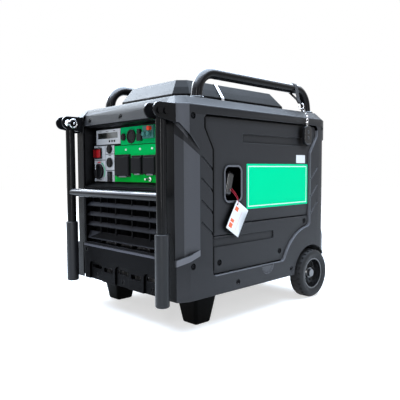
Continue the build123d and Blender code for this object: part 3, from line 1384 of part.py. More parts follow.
def remote_strap():
    """Webbing loop round the right hoop, sewn together above the ring."""
    bore = HOOP_D / 2 + FIT
    wide = bore + STRAP_T
    sewn = STRAP_DROP - STRAP_SEAM
    outer = Circle(wide)
    outer += polygon((-wide, 0), (-STRAP_GRIP, -STRAP_DROP), (STRAP_GRIP, -STRAP_DROP), (wide, 0))
    inner = Circle(bore) + polygon((-bore, 0), (-STRAP_SLIT, -sewn), (STRAP_SLIT, -sewn), (bore, 0))
    loop = extrude(outer - inner, amount=STRAP_W)
    place = Plane(origin=(HOOP_X, REMOTE_Y + STRAP_W / 2, HOOP_Z), x_dir=(1, 0, 0), z_dir=(0, -1, 0))
    return place * (Rot(0, 0, STRAP_LEAN) * loop)


def strap_point(drop):
    """Point on the strap's middle line, below the hoop's centre."""
    lean = radians(STRAP_LEAN)
    return Vector(HOOP_X + drop * sin(lean), REMOTE_Y, HOOP_Z - drop * cos(lean))


def link_ring(w, h, t):
    ring = SlotOverall(h, w) - SlotOverall(h - 2 * t, w - 2 * t)
    return extrude(ring, amount=t / 2, both=True)


def fob_x():
    """The fob hangs beside the case, clear of the side."""
    return HALF_W + FOB_CLEAR + FOB[2] / 2


def chain_route():
    """From the ring out past the deck's slope, then straight down to the fob."""
    top = strap_point(STRAP_DROP + 2 * RING_R)
    shoulder = Vector(fob_x(), REMOTE_Y, FOB_TOP + CHAIN_DROP)
    end = Vector(fob_x(), REMOTE_Y, FOB_TOP)
    return top, shoulder, end


def remote_chain():
    """Ring at the strap's end and the links down to the fob."""
    middle = strap_point(STRAP_DROP + FIT + RING_R + RING_WIRE)
    chain = Pos(*middle) * Rot(90, 0, 0) * Torus(RING_R, RING_WIRE)
    top, shoulder, end = chain_route()
    slope = shoulder - top
    drop = end - shoulder
    total = slope.length + drop.length
    for i in range(LINK_COUNT):
        reach = LINK[1] / 2 + i * (total - LINK[1]) / (LINK_COUNT - 1)
        if reach < slope.length:
            run = slope
            place = top + slope * (reach / slope.length)
        else:
            run = drop
            place = end - drop * ((total - reach) / drop.length)
        frame = Plane(origin=place, x_dir=run.normalized(), z_dir=(0, 1, 0))
        chain += frame * (Rot(90 * (i % 2), 0, 0) * link_ring(*LINK))
    return chain


def remote_fob():
    w, h, t = FOB
    x = fob_x()
    z = FOB_TOP - h / 2
    fob = along_x(Pos(REMOTE_Y, z) * RectangleRounded(w, h, FOB_CORNER), x - t / 2, x + t / 2)
    return fillet(fob.edges().group_by(Axis.X)[-1], FOB_EDGE)


def hang_tag():
    w, h, t = TAG
    x, y, z = tag_hole()
    hole_x = w / 2 - TAG_HOLE_IN
    hole_z = h / 2 - TAG_HOLE_IN
    card = RectangleRounded(w, h, TAG_CORNER) - Pos(-hole_x, hole_z) * Circle(TAG_HOLE_R)
    card = Rot(0, 0, -TAG_TURN) * Pos(hole_x, -hole_z) * card
    return along_x(Pos(y, z) * card, x - t / 2, x + t / 2)


def tag_hole():
    across, drop = TAG_AT
    return HALF_W + TAG_OUT, WINDOW_Y + across, WINDOW_Z - WINDOW_H / 2 - drop


def string_route():
    """The tag's string: from the grip over the lip, through the tag and back to the grip."""
    x, y, z = tag_hole()
    knot_x = POCKET_X + STARTER_STAND + STARTER_D + STRING_D / 2
    tied = [(knot_x + dx, WINDOW_Y + dy, WINDOW_Z + dz) for dx, dy, dz in STRING_TIES]
    loop = [(x + dx, y + dy, z + dz) for dx, dy, dz in STRING_LOOP]
    return tied[:2] + loop + tied[2:]


def arc_radii(points):
    """Largest arc at each corner that its two runs leave room for."""
    radii = []
    for before, corner, after in zip(points, points[1:], points[2:]):
        run_in = Vector(*corner) - Vector(*before)
        run_out = Vector(*after) - Vector(*corner)
        turn = run_in.get_angle(run_out)
        radii.append(ARC_SHARE * min(run_in.length, run_out.length) / tan(radians(turn / 2)))
    return radii


def tag_string():
    route = string_route()
    path = FilletPolyline(*route, radius=arc_radii(route))
    print("tag string length", round(path.length, 1))
    return sweep(Plane(origin=path @ 0, z_dir=path % 0) * Circle(STRING_D / 2), path=path)


def case_parts():
    """Everything that stands still: tray, case, deck, front and rear."""
    shell = side_shell()
    bracket = handle_bracket()
    hoop = carry_hoop()
    return {
        "base_tray": base_tray(), "front_feet": front_feet(), "wheel_axle": wheel_axle(),
        "right_side_shell": shell, "left_side_shell": to_left(shell),
        "right_door": right_door(), "right_service_cover": right_service_cover(), "left_door": left_door(),
        "top_deck": top_deck(), "tank_hood": tank_hood(), "rear_cover": rear_cover(),
        "front_grille": front_grille(), "front_skirt": front_skirt(), "control_panel": control_panel(),
        "switch_plate": switch_plate(), "outlet_plate": outlet_plate(), "panel_lenses": panel_lenses(),
        "switch_bezels": switch_bezels(), "outlet_sockets": outlet_sockets(),
        "earth_terminal": earth_terminal(), "handle_bolts": handle_bolts(),
        "right_handle_bracket": bracket, "left_handle_bracket": to_left(bracket),
        "right_carry_hoop": hoop, "left_carry_hoop": to_left(hoop),
    }


def engine_parts():
    """Tank, engine, generator and starter inside the case."""
    return {
        "fuel_tank": fuel_tank(), "engine_crankcase": engine_crankcase(), "engine_cylinder": engine_cylinder(),
        "engine_mounts": engine_mounts(), "air_cleaner": air_cleaner(), "muffler": muffler(),
        "alternator_stator": alternator_stator(), "inverter_module": inverter_module(), "battery": battery(),
        "recoil_housing": recoil_housing(), "recoil_rope": recoil_rope(), "recoil_pulley": recoil_pulley(),
        "crank_rotor": crank_rotor(),
    }


def moving_parts():
    """Handle, wheels, controls, starter grip and the two things that hang outside."""
    wheel_tyre = tyre()
    rim = wheel_rim()
    parts = {
        "handle_frame": handle_frame(), "handle_grips": handle_grips(),
        "right_tyre": wheel_tyre, "right_rim": rim, "left_tyre": to_left(wheel_tyre), "left_rim": to_left(rim),
        "fuel_cap": fuel_cap(), "engine_dial": engine_dial(),
        "power_rocker": rocker(ROCKER_AT, ROCKER_SIZE, "z"),
        "lower_rocker": rocker(LOW_SWITCH_AT, LOW_SWITCH_SIZE, "x"),
        "start_button": push_button(START_AT, START_R), "eco_button": push_button(ECO_AT, ECO_R),
        "breaker_button": push_button(BREAKER_AT, BREAKER_R), "recoil_handle": recoil_handle(),
        "remote_strap": remote_strap(), "remote_chain": remote_chain(), "remote_fob": remote_fob(),
        "hang_tag": hang_tag(), "tag_string": tag_string(),
    }
    for name, *limits in COVERS:
        parts[name] = outlet_cover(*limits)
    return parts


os.makedirs("parts", exist_ok=True)
for node, solid in {**case_parts(), **engine_parts(), **moving_parts()}.items():
    export_step(Pos(0, FRONT_Y, 0) * solid, f"parts/{node}.step")
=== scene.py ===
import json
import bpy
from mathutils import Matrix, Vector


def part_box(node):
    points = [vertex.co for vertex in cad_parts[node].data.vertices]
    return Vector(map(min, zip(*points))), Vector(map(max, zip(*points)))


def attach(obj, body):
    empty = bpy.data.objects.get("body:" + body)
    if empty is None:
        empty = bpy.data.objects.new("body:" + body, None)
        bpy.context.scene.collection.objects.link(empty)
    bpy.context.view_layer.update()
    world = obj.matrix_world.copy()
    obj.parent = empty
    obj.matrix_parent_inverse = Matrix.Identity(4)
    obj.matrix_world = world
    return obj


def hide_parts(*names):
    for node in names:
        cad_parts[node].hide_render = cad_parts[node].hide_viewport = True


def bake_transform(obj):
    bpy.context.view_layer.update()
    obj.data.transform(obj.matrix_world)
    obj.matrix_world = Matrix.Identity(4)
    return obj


bl_info = {
    "name": "Portable generator",
    "version": (1, 0, 0),
    "blender": (4, 5, 0),
    "location": "View3D > Sidebar > Generator",
    "description": "Dresses the solids of a closed inverter generator and sets its studio",
    "category": "Object",
}

from math import cos, pi, radians, sin

import bmesh
import bpy
from bpy.props import FloatProperty, FloatVectorProperty, PointerProperty
from mathutils import Matrix, Vector

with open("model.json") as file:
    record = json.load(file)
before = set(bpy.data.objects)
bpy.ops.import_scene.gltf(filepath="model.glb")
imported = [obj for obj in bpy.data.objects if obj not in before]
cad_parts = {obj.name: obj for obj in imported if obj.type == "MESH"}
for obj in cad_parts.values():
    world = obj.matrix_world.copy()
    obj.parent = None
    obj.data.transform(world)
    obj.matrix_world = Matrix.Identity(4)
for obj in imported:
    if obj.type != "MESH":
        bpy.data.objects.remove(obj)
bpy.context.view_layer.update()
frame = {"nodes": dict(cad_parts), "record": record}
NODES = frame["nodes"]
BODIES = frame["record"]["behaviour"]["bodies"]
BODY_OF = {node: body for body, nodes in BODIES.items() for node in nodes}

# Where the machine's front face lies along y
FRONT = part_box("front_skirt")[0].y
MM = 0.001
RIGHT = Vector((1, 0, 0))
BACK = Vector((0, 1, 0))
FORWARD = Vector((0, -1, 0))
UP = Vector((0, 0, 1))

# Across, up and out of a face on the starter side, and of one on the panel
ON_SIDE = (BACK, UP, RIGHT)
ON_PANEL = (RIGHT, UP, FORWARD)

CASE_NODES = ("left_door", "rear_cover")
SHELL_NODES = ("right_side_shell", "left_side_shell")
GRILLE_NODES = ("front_grille", "front_skirt")
TUBE_NODES = ("right_carry_hoop", "left_carry_hoop")
BRACKET_NODES = ("right_handle_bracket", "left_handle_bracket")
KEY_NODES = ("switch_bezels", "start_button", "eco_button", "breaker_button", "lower_rocker")
COVER_NODES = ("outlet_cover_large", "outlet_cover_middle", "outlet_cover_small")

# Screws on the flanks by millimetres back and up, those on the front by millimetres across and up
SHELL_SCREWS = ((45, 548), (633, 548), (43, 172), (212, 105), (462, 105))
COVER_SCREWS = ((144, 168), (407, 168), (536, 250))
BAR_SCREWS = ((-158, 562), (0, 562), (158, 562))
SKIRT_SCREWS = ((-134, 98), (0, 98), (134, 98))
SKIRT_CORNER_SCREWS = ((-185, 174), (185, 174))
WELL_RADIUS = 0.0085

# Case: metres out from the middle, back from the front face or above the floor, and plain slopes
PILLAR_INNER_FACE = 0.2285
PILLAR_DEPTH = 0.068
CORNER_DEPTH = 0.033
FACET_START = 0.022
FACET_HEAD = 0.530
FACET_FALL = 1.147
FACET_FOOT = 0.190
FACET_RISE = 0.3235
UNDERSIDE = 0.027
UNDERSIDE_TAPER = 0.38
LEDGE = 0.016
UPPER_STRIP = 0.553
LOWER_SHELL = 0.17
LOWER_FADE = 16.0
SEAM_START = 0.084
SEAM_WAIST = 0.521
SEAM_SLOPE = 0.5556
SEAM_STEP = 0.030
SEAM_HEIGHTS = (0.148, 0.545)
SHELL_SEAM = (-0.0016, 0.001)
DOOR_SEAM = (0.0, 0.0105)
SHELL_FACE = 0.2385
SILL_START = 0.12
SILL_HEAD = 0.3
FLUTE_START = 0.3
FLUTE_END = 0.62
FLUTE_HEAD = 0.54
DOOR_FACE = 0.245
WINDOW_HALF_WIDTH = 0.0175
WINDOW_HALF_HEIGHT = 0.0315
WINDOW_CORNER = 0.014
WINDOW_LIP = 0.0045
WINDOW_EDGE = 0.001
FLANGE_HEIGHTS = (0.184, 0.192)
FLANGE_DEPTH = 0.012
BAR_DEPTH = 0.03
HOOD_FLANK_FOOT = 0.642
HOOD_FRONT_FOOT = 0.632

# Limits to the share of a face's normal along an axis, which place painted highlights and shade, and the
# gloss and painted highlight along a tube's top
SILL_FACING_UP = 0.4
FLUTE_FACING_BACK = -0.25
FLUTE_FACING_UP = -0.12
LOUVRE_FACING_UP = 0.35
HOOD_FLANK_FACING = 0.35
HOOD_FRONT_FACING_BACK = -0.3
TUBE_TOP_FACING = 0.12
TUBE_TOP_RISE = 4.0
TUBE_COAT = 0.75

# Tones of painted light and shade, as multiples of a finish's own colour
HOLLOW_TONE = 0.04
PILLAR_TONE = 1.3
LOWER_TONE = 1.45
FACET_TONE = 3.0
CORNER_TONE = 3.4
BRIGHT_TONE = 7.0
LOUVRE_TONE = 9.0
FLANGE_TONE = 36.0
EDGE_TONE = 5.0
SIDE_EDGE_TONE = 4.0

# How dark faces with painted shade are, and how far round them grooves and edges are felt for painted shade
# and painted highlights
UNDERSIDE_SHADE = 0.7
STRIP_SHADE = 0.3
HOOD_SHADE = 0.75
HOLLOW_REACH = 0.02
HOLLOW_CONTRAST = 6.0
RIDGE_REACH = 0.0022
RIDGE_START = 0.9
RIDGE_CONTRAST = 5.0

# Panel: the plates' face in millimetres, the rest in metres across, up or back from the front face
PLATE_FACE = 28.8
OUTLET_FOOT = 0.381
OUTLET_HEIGHT = 0.154
OUTLET_ROW = 0.485
OUTLET_SHADE_START = 0.03
OUTLET_SHADE_RISE = 8.0
OUTLET_SHADE_TOP = 0.8
DISPLAY_SPLIT = -0.098
DISPLAY_MIDDLE = 0.516
DISPLAY_SLANT = 0.8
DISPLAY_EDGE = 40.0
DISPLAY_FOOT = 0.49
POST_CAP_LEFT = 0.1
POST_CAP_FOOT = 0.517
POST_CAP_BACK = 0.0235
BLOCK_LEFT = 0.0725
BLOCK_FOOT = 0.49
COVER_LIP = 0.0042
ROCKER_MIDDLE = -0.158

# Points closer than this are one, and faces flatter than this are joined
WELD_DISTANCE = 0.00002
FLAT_ANGLE = radians(0.4)


def spot(x, y, z):
    """Point in the row frame, from millimetres measured back from the front face."""
    return Vector((x * MM, y * MM + FRONT, z * MM))


LABEL_CENTRE = spot(244, 403.5, 367.3)
LABEL_SIZE = (0.299, 0.1265)
LABEL_RIM = 0.006
LABEL_LINE = 0.0085
DIAL_CENTRE = spot(-148, PLATE_FACE, 411)
STARTER_WINDOW = spot(0, 197, 376)
TAG_TILT = radians(33.0)
TAG_ACROSS = Vector((0, cos(TAG_TILT), -sin(TAG_TILT)))
TAG_UP = Vector((0, sin(TAG_TILT), cos(TAG_TILT)))
TAG_HOLE = spot(254, 205, 320.5)
TAG_SIZE = (0.056, 0.084)

# Print on the tag: limits in metres across it and down it from its hole
TAG_BLOCKS = ((0.006, 0.018), (0.043, 0.052), (0.055, 0.068))
TAG_BAND = (-0.003, 0.011)
TAG_LINE = (0.0265, 0.0275)
TAG_LINE_ENDS = (0.008, 0.066)


def operation(kind, swapped=False):
    """Method of a field that adds one Math node; swapped puts the field second."""

    def add_node(self, other=0.0):
        first, second = (other, self) if swapped else (self, other)
        return self.graph.math(kind, first, second)

    return add_node


class Field:
    """A shader socket that takes part in Python expressions."""

    def __init__(self, graph, socket):
        self.graph = graph
        self.socket = socket

    __add__ = operation("ADD")
    __radd__ = operation("ADD", swapped=True)
    __sub__ = operation("SUBTRACT")
    __rsub__ = operation("SUBTRACT", swapped=True)
    __mul__ = operation("MULTIPLY")
    __rmul__ = operation("MULTIPLY", swapped=True)
    __truediv__ = operation("DIVIDE")
    __pow__ = operation("POWER")
    __gt__ = operation("GREATER_THAN")
    __lt__ = operation("LESS_THAN")
    __abs__ = operation("ABSOLUTE")
    __and__ = operation("MINIMUM")
    __or__ = operation("MAXIMUM")

    def held(self, top=1.0):
        """The value kept between nought and a top."""
        return (self | 0.0) & top

    def within(self, low, high):
        """One between two limits, nought outside them."""
        return (self > low) * (self < high)


class Graph:
    """The node tree of a material or of the room, emptied for a new shader."""

    def __init__(self, owner):
        owner.use_nodes = True
        self.nodes = owner.node_tree.nodes
        self.links = owner.node_tree.links
        self.nodes.clear()

    def feed(self, socket, value):
        if isinstance(value, Field):
            self.links.new(value.socket, socket)
        else:
            socket.default_value = value

    def node(self, kind, settings, sockets, out=0):
        """Add a node, set it up, feed its sockets and return one of its outputs."""
        node = self.nodes.new(kind)
        for key, value in settings.items():
            setattr(node, key, value)
        for key, value in sockets.items():
            self.feed(node.inputs[key], value)
        return Field(self, node.outputs[out])

    def show(self, kind, shader):
        """Lead a shader to the tree's output."""
        self.feed(self.nodes.new(kind).inputs["Surface"], shader)

    def math(self, kind, a, b):
        return self.node("ShaderNodeMath", {"operation": kind}, {0: a, 1: b})

    def seen(self):
        """One where the eye, a reflection or glass looks, nought where light is gathered."""
        rays = ("Is Camera Ray", "Is Glossy Ray", "Is Transmission Ray")
        camera, glossy, through = [self.node("ShaderNodeLightPath", {}, {}, out=ray) for ray in rays]
        return camera | glossy | through


class Finish(Graph):
    """One material and its principled shader."""

    def __init__(self, name):
        self.material = bpy.data.materials.new(name)
        super().__init__(self.material)
        self.shader = self.nodes.new("ShaderNodeBsdfPrincipled")
        self.show("ShaderNodeOutputMaterial", Field(self, self.shader.outputs["BSDF"]))

    def mix(self, factor, a, b):
        """Blend two colours."""
        return self.node("ShaderNodeMix", {"data_type": "RGBA"}, {0: factor, 6: a, 7: b}, out=2)

    def tints(self, pattern, colour, low, high):
        """A colour that a pattern takes from one tone to another."""
        return self.mix(pattern, shade(colour, low), shade(colour, high))

    def layers(self, face, colour, *layers):
        """A face with other tones of a colour laid over it, each through its mask."""
        for mask, tone in layers:
            face = self.mix(mask, face, shade(colour, tone))
        return face

    def place(self):
        """Point on the surface, in the row frame."""
        return self.node("ShaderNodeTexCoord", {}, {}, out="Object")

    def axes(self):
        """The point's three coordinates."""
        point = self.place()
        return [self.node("ShaderNodeSeparateXYZ", {}, {0: point}, out=axis) for axis in "XYZ"]

    def facing(self, axis):
        """How far the surface faces along an axis: one toward it, nought aside, below nought away."""
        normal = self.node("ShaderNodeNewGeometry", {}, {}, out="Normal")
        return self.node("ShaderNodeSeparateXYZ", {}, {0: normal}, out=axis)

    def stretched(self, x, y, z):
        """Point on the surface with each axis scaled, for textures drawn out one way."""
        settings = {"operation": "MULTIPLY"}
        return self.node("ShaderNodeVectorMath", settings, {0: self.place(), 1: (x, y, z)})

    def noise(self, scale, detail, vector=None):
        point = self.place() if vector is None else vector
        return self.node("ShaderNodeTexNoise", {}, {"Vector": point, "Scale": scale, "Detail": detail})

    def bands(self, direction, scale, distortion):
        """Parallel bands across a direction, for woven and twisted threads."""
        sockets = {"Vector": self.place(), "Scale": scale, "Distortion": distortion}
        return self.node("ShaderNodeTexWave", {"bands_direction": direction}, sockets)

    def openness(self, reach, inside):
        """Share of the view that is free within reach, outside the surface or under it."""
        settings = {"samples": 6, "inside": inside}
        return self.node("ShaderNodeAmbientOcclusion", settings, {"Distance": reach}, out="AO")

    def hollows(self, reach):
        """Near nought deep in grooves and corners, one on open faces."""
        return self.openness(reach, False) ** HOLLOW_CONTRAST

    def ridges(self, reach):
        """Rises toward one along edges that stand out."""
        return ((RIDGE_START - self.openness(reach, True)) * RIDGE_CONTRAST).held()

    def bump(self, height, distance):
        """Raise the surface by a pattern, to a height in metres."""
        sockets = {"Height": height, "Distance": distance, "Strength": 1.0}
        self.feed(self.shader.inputs["Normal"], self.node("ShaderNodeBump", {}, sockets))

    def set(self, **sockets):
        """Feed the shader's sockets by name and return the material."""
        for key, value in sockets.items():
            name = key.replace("_", " ").title().replace("Ior", "IOR")
            self.feed(self.shader.inputs[name], value)
        return self.material


def shade(colour, factor):
    """A darker or paler tone of a colour."""
    return (colour[0] * factor, colour[1] * factor, colour[2] * factor, 1.0)


def grey(level):
    return (level, level, level, 1.0)


def uneven(roughness, swing, pattern):
    """Roughness that a pattern takes to both sides of its middle."""
    return roughness - swing + 2 * swing * pattern


def moulded_plastic(name, colour, roughness, shine=0.12, edge_highlight=1.0, tones=None, glints=None):
    """Textured plastic with fine grain, painted shade in its hollows, painted highlights along edges that
    stand out, and uneven gloss.
    """
    finish = Finish(name)
    mottle = finish.noise(9.0, 4.0)
    grains = finish.noise(1500.0, 1.0)
    face = finish.tints(mottle, colour, 0.88, 1.12)
    # Painted shade: grooves and corners, and the places the tones mark dark, turn near black below
    open_face = finish.hollows(HOLLOW_REACH)
    if tones:
        face, dark = tones(finish, face, colour)
        open_face = open_face * (1.0 - dark)
    # Painted highlight: edges that stand out turn paler by the given factor
    edge_lit = finish.mix(finish.ridges(RIDGE_REACH), face, shade(colour, edge_highlight))
    base = finish.mix(open_face, shade(colour, HOLLOW_TONE), edge_lit)
    # Painted highlights: the walls that the glints pick out turn much paler and reflect as plain plastic
    if glints:
        lit = glints(finish)
        open_face = open_face | lit
        base = finish.mix(lit, base, shade(colour, BRIGHT_TONE))
    finish.bump(grains, 0.00012)
    # Faces with painted shade are made metallic, so that their reflections darken too
    return finish.set(base_color=base, roughness=uneven(roughness, 0.08, mottle),
                      specular_ior_level=shine, metallic=1.0 - open_face)


def beside_seam(back, z, first, last):
    """One in a band along the front edge of the door opening, which steps back below its waist."""
    step = ((SEAM_WAIST - z) * SEAM_SLOPE).held(SEAM_STEP)
    past = back - SEAM_START - step
    return past.within(first, last) * z.within(*SEAM_HEIGHTS)


def screw_wells(across, up, places):
    """One inside the round wells of the screws at these places."""
    wells = 0.0
    for place, height in places:
        aside = across - place * MM
        above = up - height * MM
        wells = (aside * aside + above * above < WELL_RADIUS ** 2) | wells
    return wells


def pillar_tones(finish, face, colour):
    """Front pillars: painted light on a facet, a painted highlight on the ledge at its foot and painted shade
    under its head.
    """
    x, y, z = finish.axes()
    back = y - FRONT
    pillar = back < PILLAR_DEPTH
    head = FACET_HEAD - FACET_FALL * back
    foot = FACET_FOOT + FACET_RISE * back
    between = pillar * (z < head) * (z > foot)
    inner = abs(x) < PILLAR_INNER_FACE
    outer = 1.0 - inner
    facet = between * (back > FACET_START)
    corner = (back < CORNER_DEPTH) * (z > head) * outer
    low = ((LOWER_SHELL - z) * LOWER_FADE).held()
    ledge = pillar * (z < foot) * (z > foot - LEDGE) * outer
    # Painted light on the facet, the corner and the lower shell, and a painted highlight on the ledge
    toned = finish.layers(face, colour, (between * outer, PILLAR_TONE), (facet, FACET_TONE),
                          (corner, CORNER_TONE), (low, LOWER_TONE), (ledge, BRIGHT_TONE))
    # Painted shade under the head, on the inner face and along the upper strip; painted shade also in the
    # screw wells and a painted shadow beside the seam
    under = pillar * (z < head) * (z > head - UNDERSIDE + UNDERSIDE_TAPER * back)
    strip = (z > UPPER_STRIP) * (back > CORNER_DEPTH)
    shaded = (under | (between * inner)) * UNDERSIDE_SHADE | strip * STRIP_SHADE
    return toned, screw_wells(back, z, SHELL_SCREWS) | beside_seam(back, z, *SHELL_SEAM) | shaded


def shell_glints(finish):
    """Painted highlights on the walls of the door opening and of the rear flutes that face forward and up."""
    x, y, z = finish.axes()
    back = y - FRONT
    sill = (finish.facing("Z") > SILL_FACING_UP) * (back > SILL_START) * (z < SILL_HEAD)
    forward = (finish.facing("Y") < FLUTE_FACING_BACK) * (finish.facing("Z") > FLUTE_FACING_UP)
    flute = forward * (back > FLUTE_START)
    return (sill | flute) * (abs(x) > SHELL_FACE) * (back < FLUTE_END) * (z < FLUTE_HEAD)


def door_tones(finish, face, colour):
    """Starter door: a painted highlight on the lip round its window, painted shade in the well inside it and
    a painted shadow along its seam.
    """
    x, y, z = finish.axes()
    over_y = abs(y - STARTER_WINDOW.y) - WINDOW_HALF_WIDTH | 0.0
    over_z = abs(z - STARTER_WINDOW.z) - WINDOW_HALF_HEIGHT | 0.0
    reach = (over_y * over_y + over_z * over_z) ** 0.5 - WINDOW_CORNER
    lip = reach.within(-WINDOW_EDGE, WINDOW_LIP) * (x > DOOR_FACE)
    well = (reach < WINDOW_EDGE) * (x < DOOR_FACE)
    lipped = finish.layers(face, colour, (lip, BRIGHT_TONE))
    return lipped, well | beside_seam(y - FRONT, z, *DOOR_SEAM)


def grille_tones(finish, face, colour):
    """Grille and skirt: painted highlights on upper edges and on the flange between them, and painted shade
    in the screw wells.
    """
    x, y, z = finish.axes()
    flange = z.within(*FLANGE_HEIGHTS) * (y < FRONT + FLANGE_DEPTH)
    top = finish.facing("Z") > LOUVRE_FACING_UP
    edged = finish.layers(face, colour, (top, LOUVRE_TONE), (flange, FLANGE_TONE))
    return edged, screw_wells(x, z, SKIRT_SCREWS + SKIRT_CORNER_SCREWS)


def deck_tones(finish, face, colour):
    """Deck: painted shade in the screw wells along its front bar."""
    x, y, z = finish.axes()
    return face, screw_wells(x, z, BAR_SCREWS) * (y < FRONT + BAR_DEPTH)


def cover_tones(finish, face, colour):
    """Service cover: painted shade in the screw wells and a painted shadow along its seam."""
    _, y, z = finish.axes()
    back = y - FRONT
    return face, screw_wells(back, z, COVER_SCREWS) | beside_seam(back, z, *DOOR_SEAM)


def hood_tones(finish, face, colour):
    """Hood: painted shade on the foot of its flanks and of its front."""
    _, _, z = finish.axes()
    flank = (abs(finish.facing("X")) > HOOD_FLANK_FACING) * (z < HOOD_FLANK_FOOT)
    front = (finish.facing("Y") < HOOD_FRONT_FACING_BACK) * (z < HOOD_FRONT_FOOT)
    return face, (flank | front) * HOOD_SHADE


def painted_tube(name, colour, roughness, shine=0.09, dust_and_sheen=9.0):
    """Powder-coated steel with a slight orange peel, with a painted highlight along its top, where its coat
    is also glossier.
    """
    finish = Finish(name)
    peel = finish.noise(420.0, 2.0)
    wear = finish.noise(14.0, 5.0)
    top = ((finish.facing("Z") - TUBE_TOP_FACING) * TUBE_TOP_RISE).held()
    # Painted highlight: paler where the tube faces up
    base = finish.layers(finish.tints(wear, colour, 0.8, 1.3), colour, (top, dust_and_sheen))
    finish.bump(peel, 0.00008)
    return finish.set(base_color=base, roughness=uneven(roughness, 0.05, wear),
                      specular_ior_level=shine, coat_weight=top * TUBE_COAT, coat_roughness=0.2)


def soft_rubber(name, colour, roughness, shine=0.16):
    """Dull rubber with a fine grain and patches of dust."""
    finish = Finish(name)
    dust_and_sheen = finish.noise(30.0, 5.0)
    finish.bump(finish.noise(900.0, 2.0), 0.0002)
    return finish.set(base_color=finish.tints(dust_and_sheen, colour, 0.8, 1.35),
                      roughness=uneven(roughness, 0.06, dust_and_sheen), specular_ior_level=shine)


def brushed_metal(name, colour, roughness, stretch, metallic=1.0):
    """Metal with fine lines drawn out along one axis."""
    finish = Finish(name)
    lines = finish.noise(1.0, 3.0, finish.stretched(*stretch))
    finish.bump(lines, 0.00004)
    return finish.set(base_color=finish.tints(lines, colour, 0.82, 1.12), metallic=metallic,
                      roughness=uneven(roughness, 0.08, lines))


def gloss_plastic(name, colour, roughness, shine=0.12):
    """Smooth moulded plastic with faint flow marks."""
    finish = Finish(name)
    flow = finish.noise(24.0, 3.0)
    finish.bump(flow, 0.0001)
    return finish.set(base_color=finish.tints(flow, colour, 0.88, 1.12),
                      roughness=uneven(roughness, 0.03, flow), specular_ior_level=shine)


def cast_metal(name, colour, roughness):
    """Rough cast surface with pits."""
    finish = Finish(name)
    tone = finish.noise(20.0, 4.0)
    finish.bump(finish.noise(260.0, 6.0), 0.0006)
    return finish.set(base_color=finish.tints(tone, colour, 0.75, 1.1), metallic=0.9,
                      roughness=uneven(roughness, 0.1, tone))


def outlet_green(green, teal):
    """Printed green plate that goes from teal at its top to plain green below, with painted shade toward the
    right of its upper row.
    """
    finish = Finish("outlet_green")
    x, _, z = finish.axes()
    grain = finish.noise(700.0, 2.0)
    rise = (z - OUTLET_FOOT) / OUTLET_HEIGHT
    graded = finish.mix(rise, shade(green, 1.0), shade(teal, 1.0))
    # Painted shade: darker toward the right of the upper row
    shaded = (x - OUTLET_SHADE_START) * OUTLET_SHADE_RISE * (z > OUTLET_ROW) & OUTLET_SHADE_TOP
    finish.bump(grain, 0.00004)
    return finish.set(base_color=finish.layers(graded, teal, (shaded, 0.75)),
                      roughness=0.32 + 0.1 * grain, specular_ior_level=0.02)


def display_glass():
    """Display window, dark on its left and grey on its right, and white lamp lenses below it."""
    finish = Finish("display_glass")
    x, _, z = finish.axes()
    slant = (x - DISPLAY_SPLIT + (z - DISPLAY_MIDDLE) * DISPLAY_SLANT) * DISPLAY_EDGE
    window = finish.mix(slant.held(), (0.004, 0.005, 0.005, 1.0), (0.13, 0.14, 0.14, 1.0))
    base = finish.mix(z < DISPLAY_FOOT, window, (0.85, 0.9, 0.88, 1.0))
    cloud = finish.noise(60.0, 2.0)
    return finish.set(base_color=base, roughness=0.1 + 0.12 * cloud, coat_weight=0.4 + 0.2 * cloud)


def webbing_weave(colour):
    """Narrow woven strap: ribs across it and a fine twill."""
    finish = Finish("strap_webbing")
    weave = (finish.bands("Z", 260.0, 0.4) + finish.bands("Y", 420.0, 0.6)) * 0.5
    finish.bump(weave, 0.0004)
    return finish.set(base_color=finish.tints(weave, colour, 0.5, 1.5), roughness=0.75 + 0.15 * weave)


def twisted_cord(name, colour, scale):
    """Cord whose strands lie at a slant."""
    finish = Finish(name)
    lay = finish.bands("DIAGONAL", scale, 0.3)
    finish.bump(lay, 0.0003)
    return finish.set(base_color=finish.tints(lay, colour, 0.55, 1.25), roughness=0.7 + 0.15 * lay)


def side_label(mint):
    """Plain mint label with a fine pale line inside its edge and a darker rim."""
    finish = Finish("side_label")
    _, y, z = finish.axes()
    edge_y = LABEL_SIZE[0] / 2 - abs(y - LABEL_CENTRE.y)
    edge_z = LABEL_SIZE[1] / 2 - abs(z - LABEL_CENTRE.z)
    edge = edge_y & edge_z
    line = edge.within(LABEL_RIM, LABEL_LINE)
    grain = finish.noise(500.0, 2.0)
    rimmed = finish.layers(finish.tints(grain, mint, 0.97, 1.03), mint, (edge < LABEL_RIM, 0.93))
    base = finish.mix(line, rimmed, (0.82, 0.9, 0.87, 1.0))
    return finish.set(base_color=base, roughness=0.36 + 0.08 * grain, specular_ior_level=0.03)


def blank_paper():
    """White paper without print."""
    finish = Finish("blank_sticker")
    fibre = finish.noise(900.0, 4.0)
    base = finish.mix(fibre, (0.78, 0.78, 0.79, 1.0), grey(0.9))
    return finish.set(base_color=base, roughness=0.5 + 0.15 * fibre)


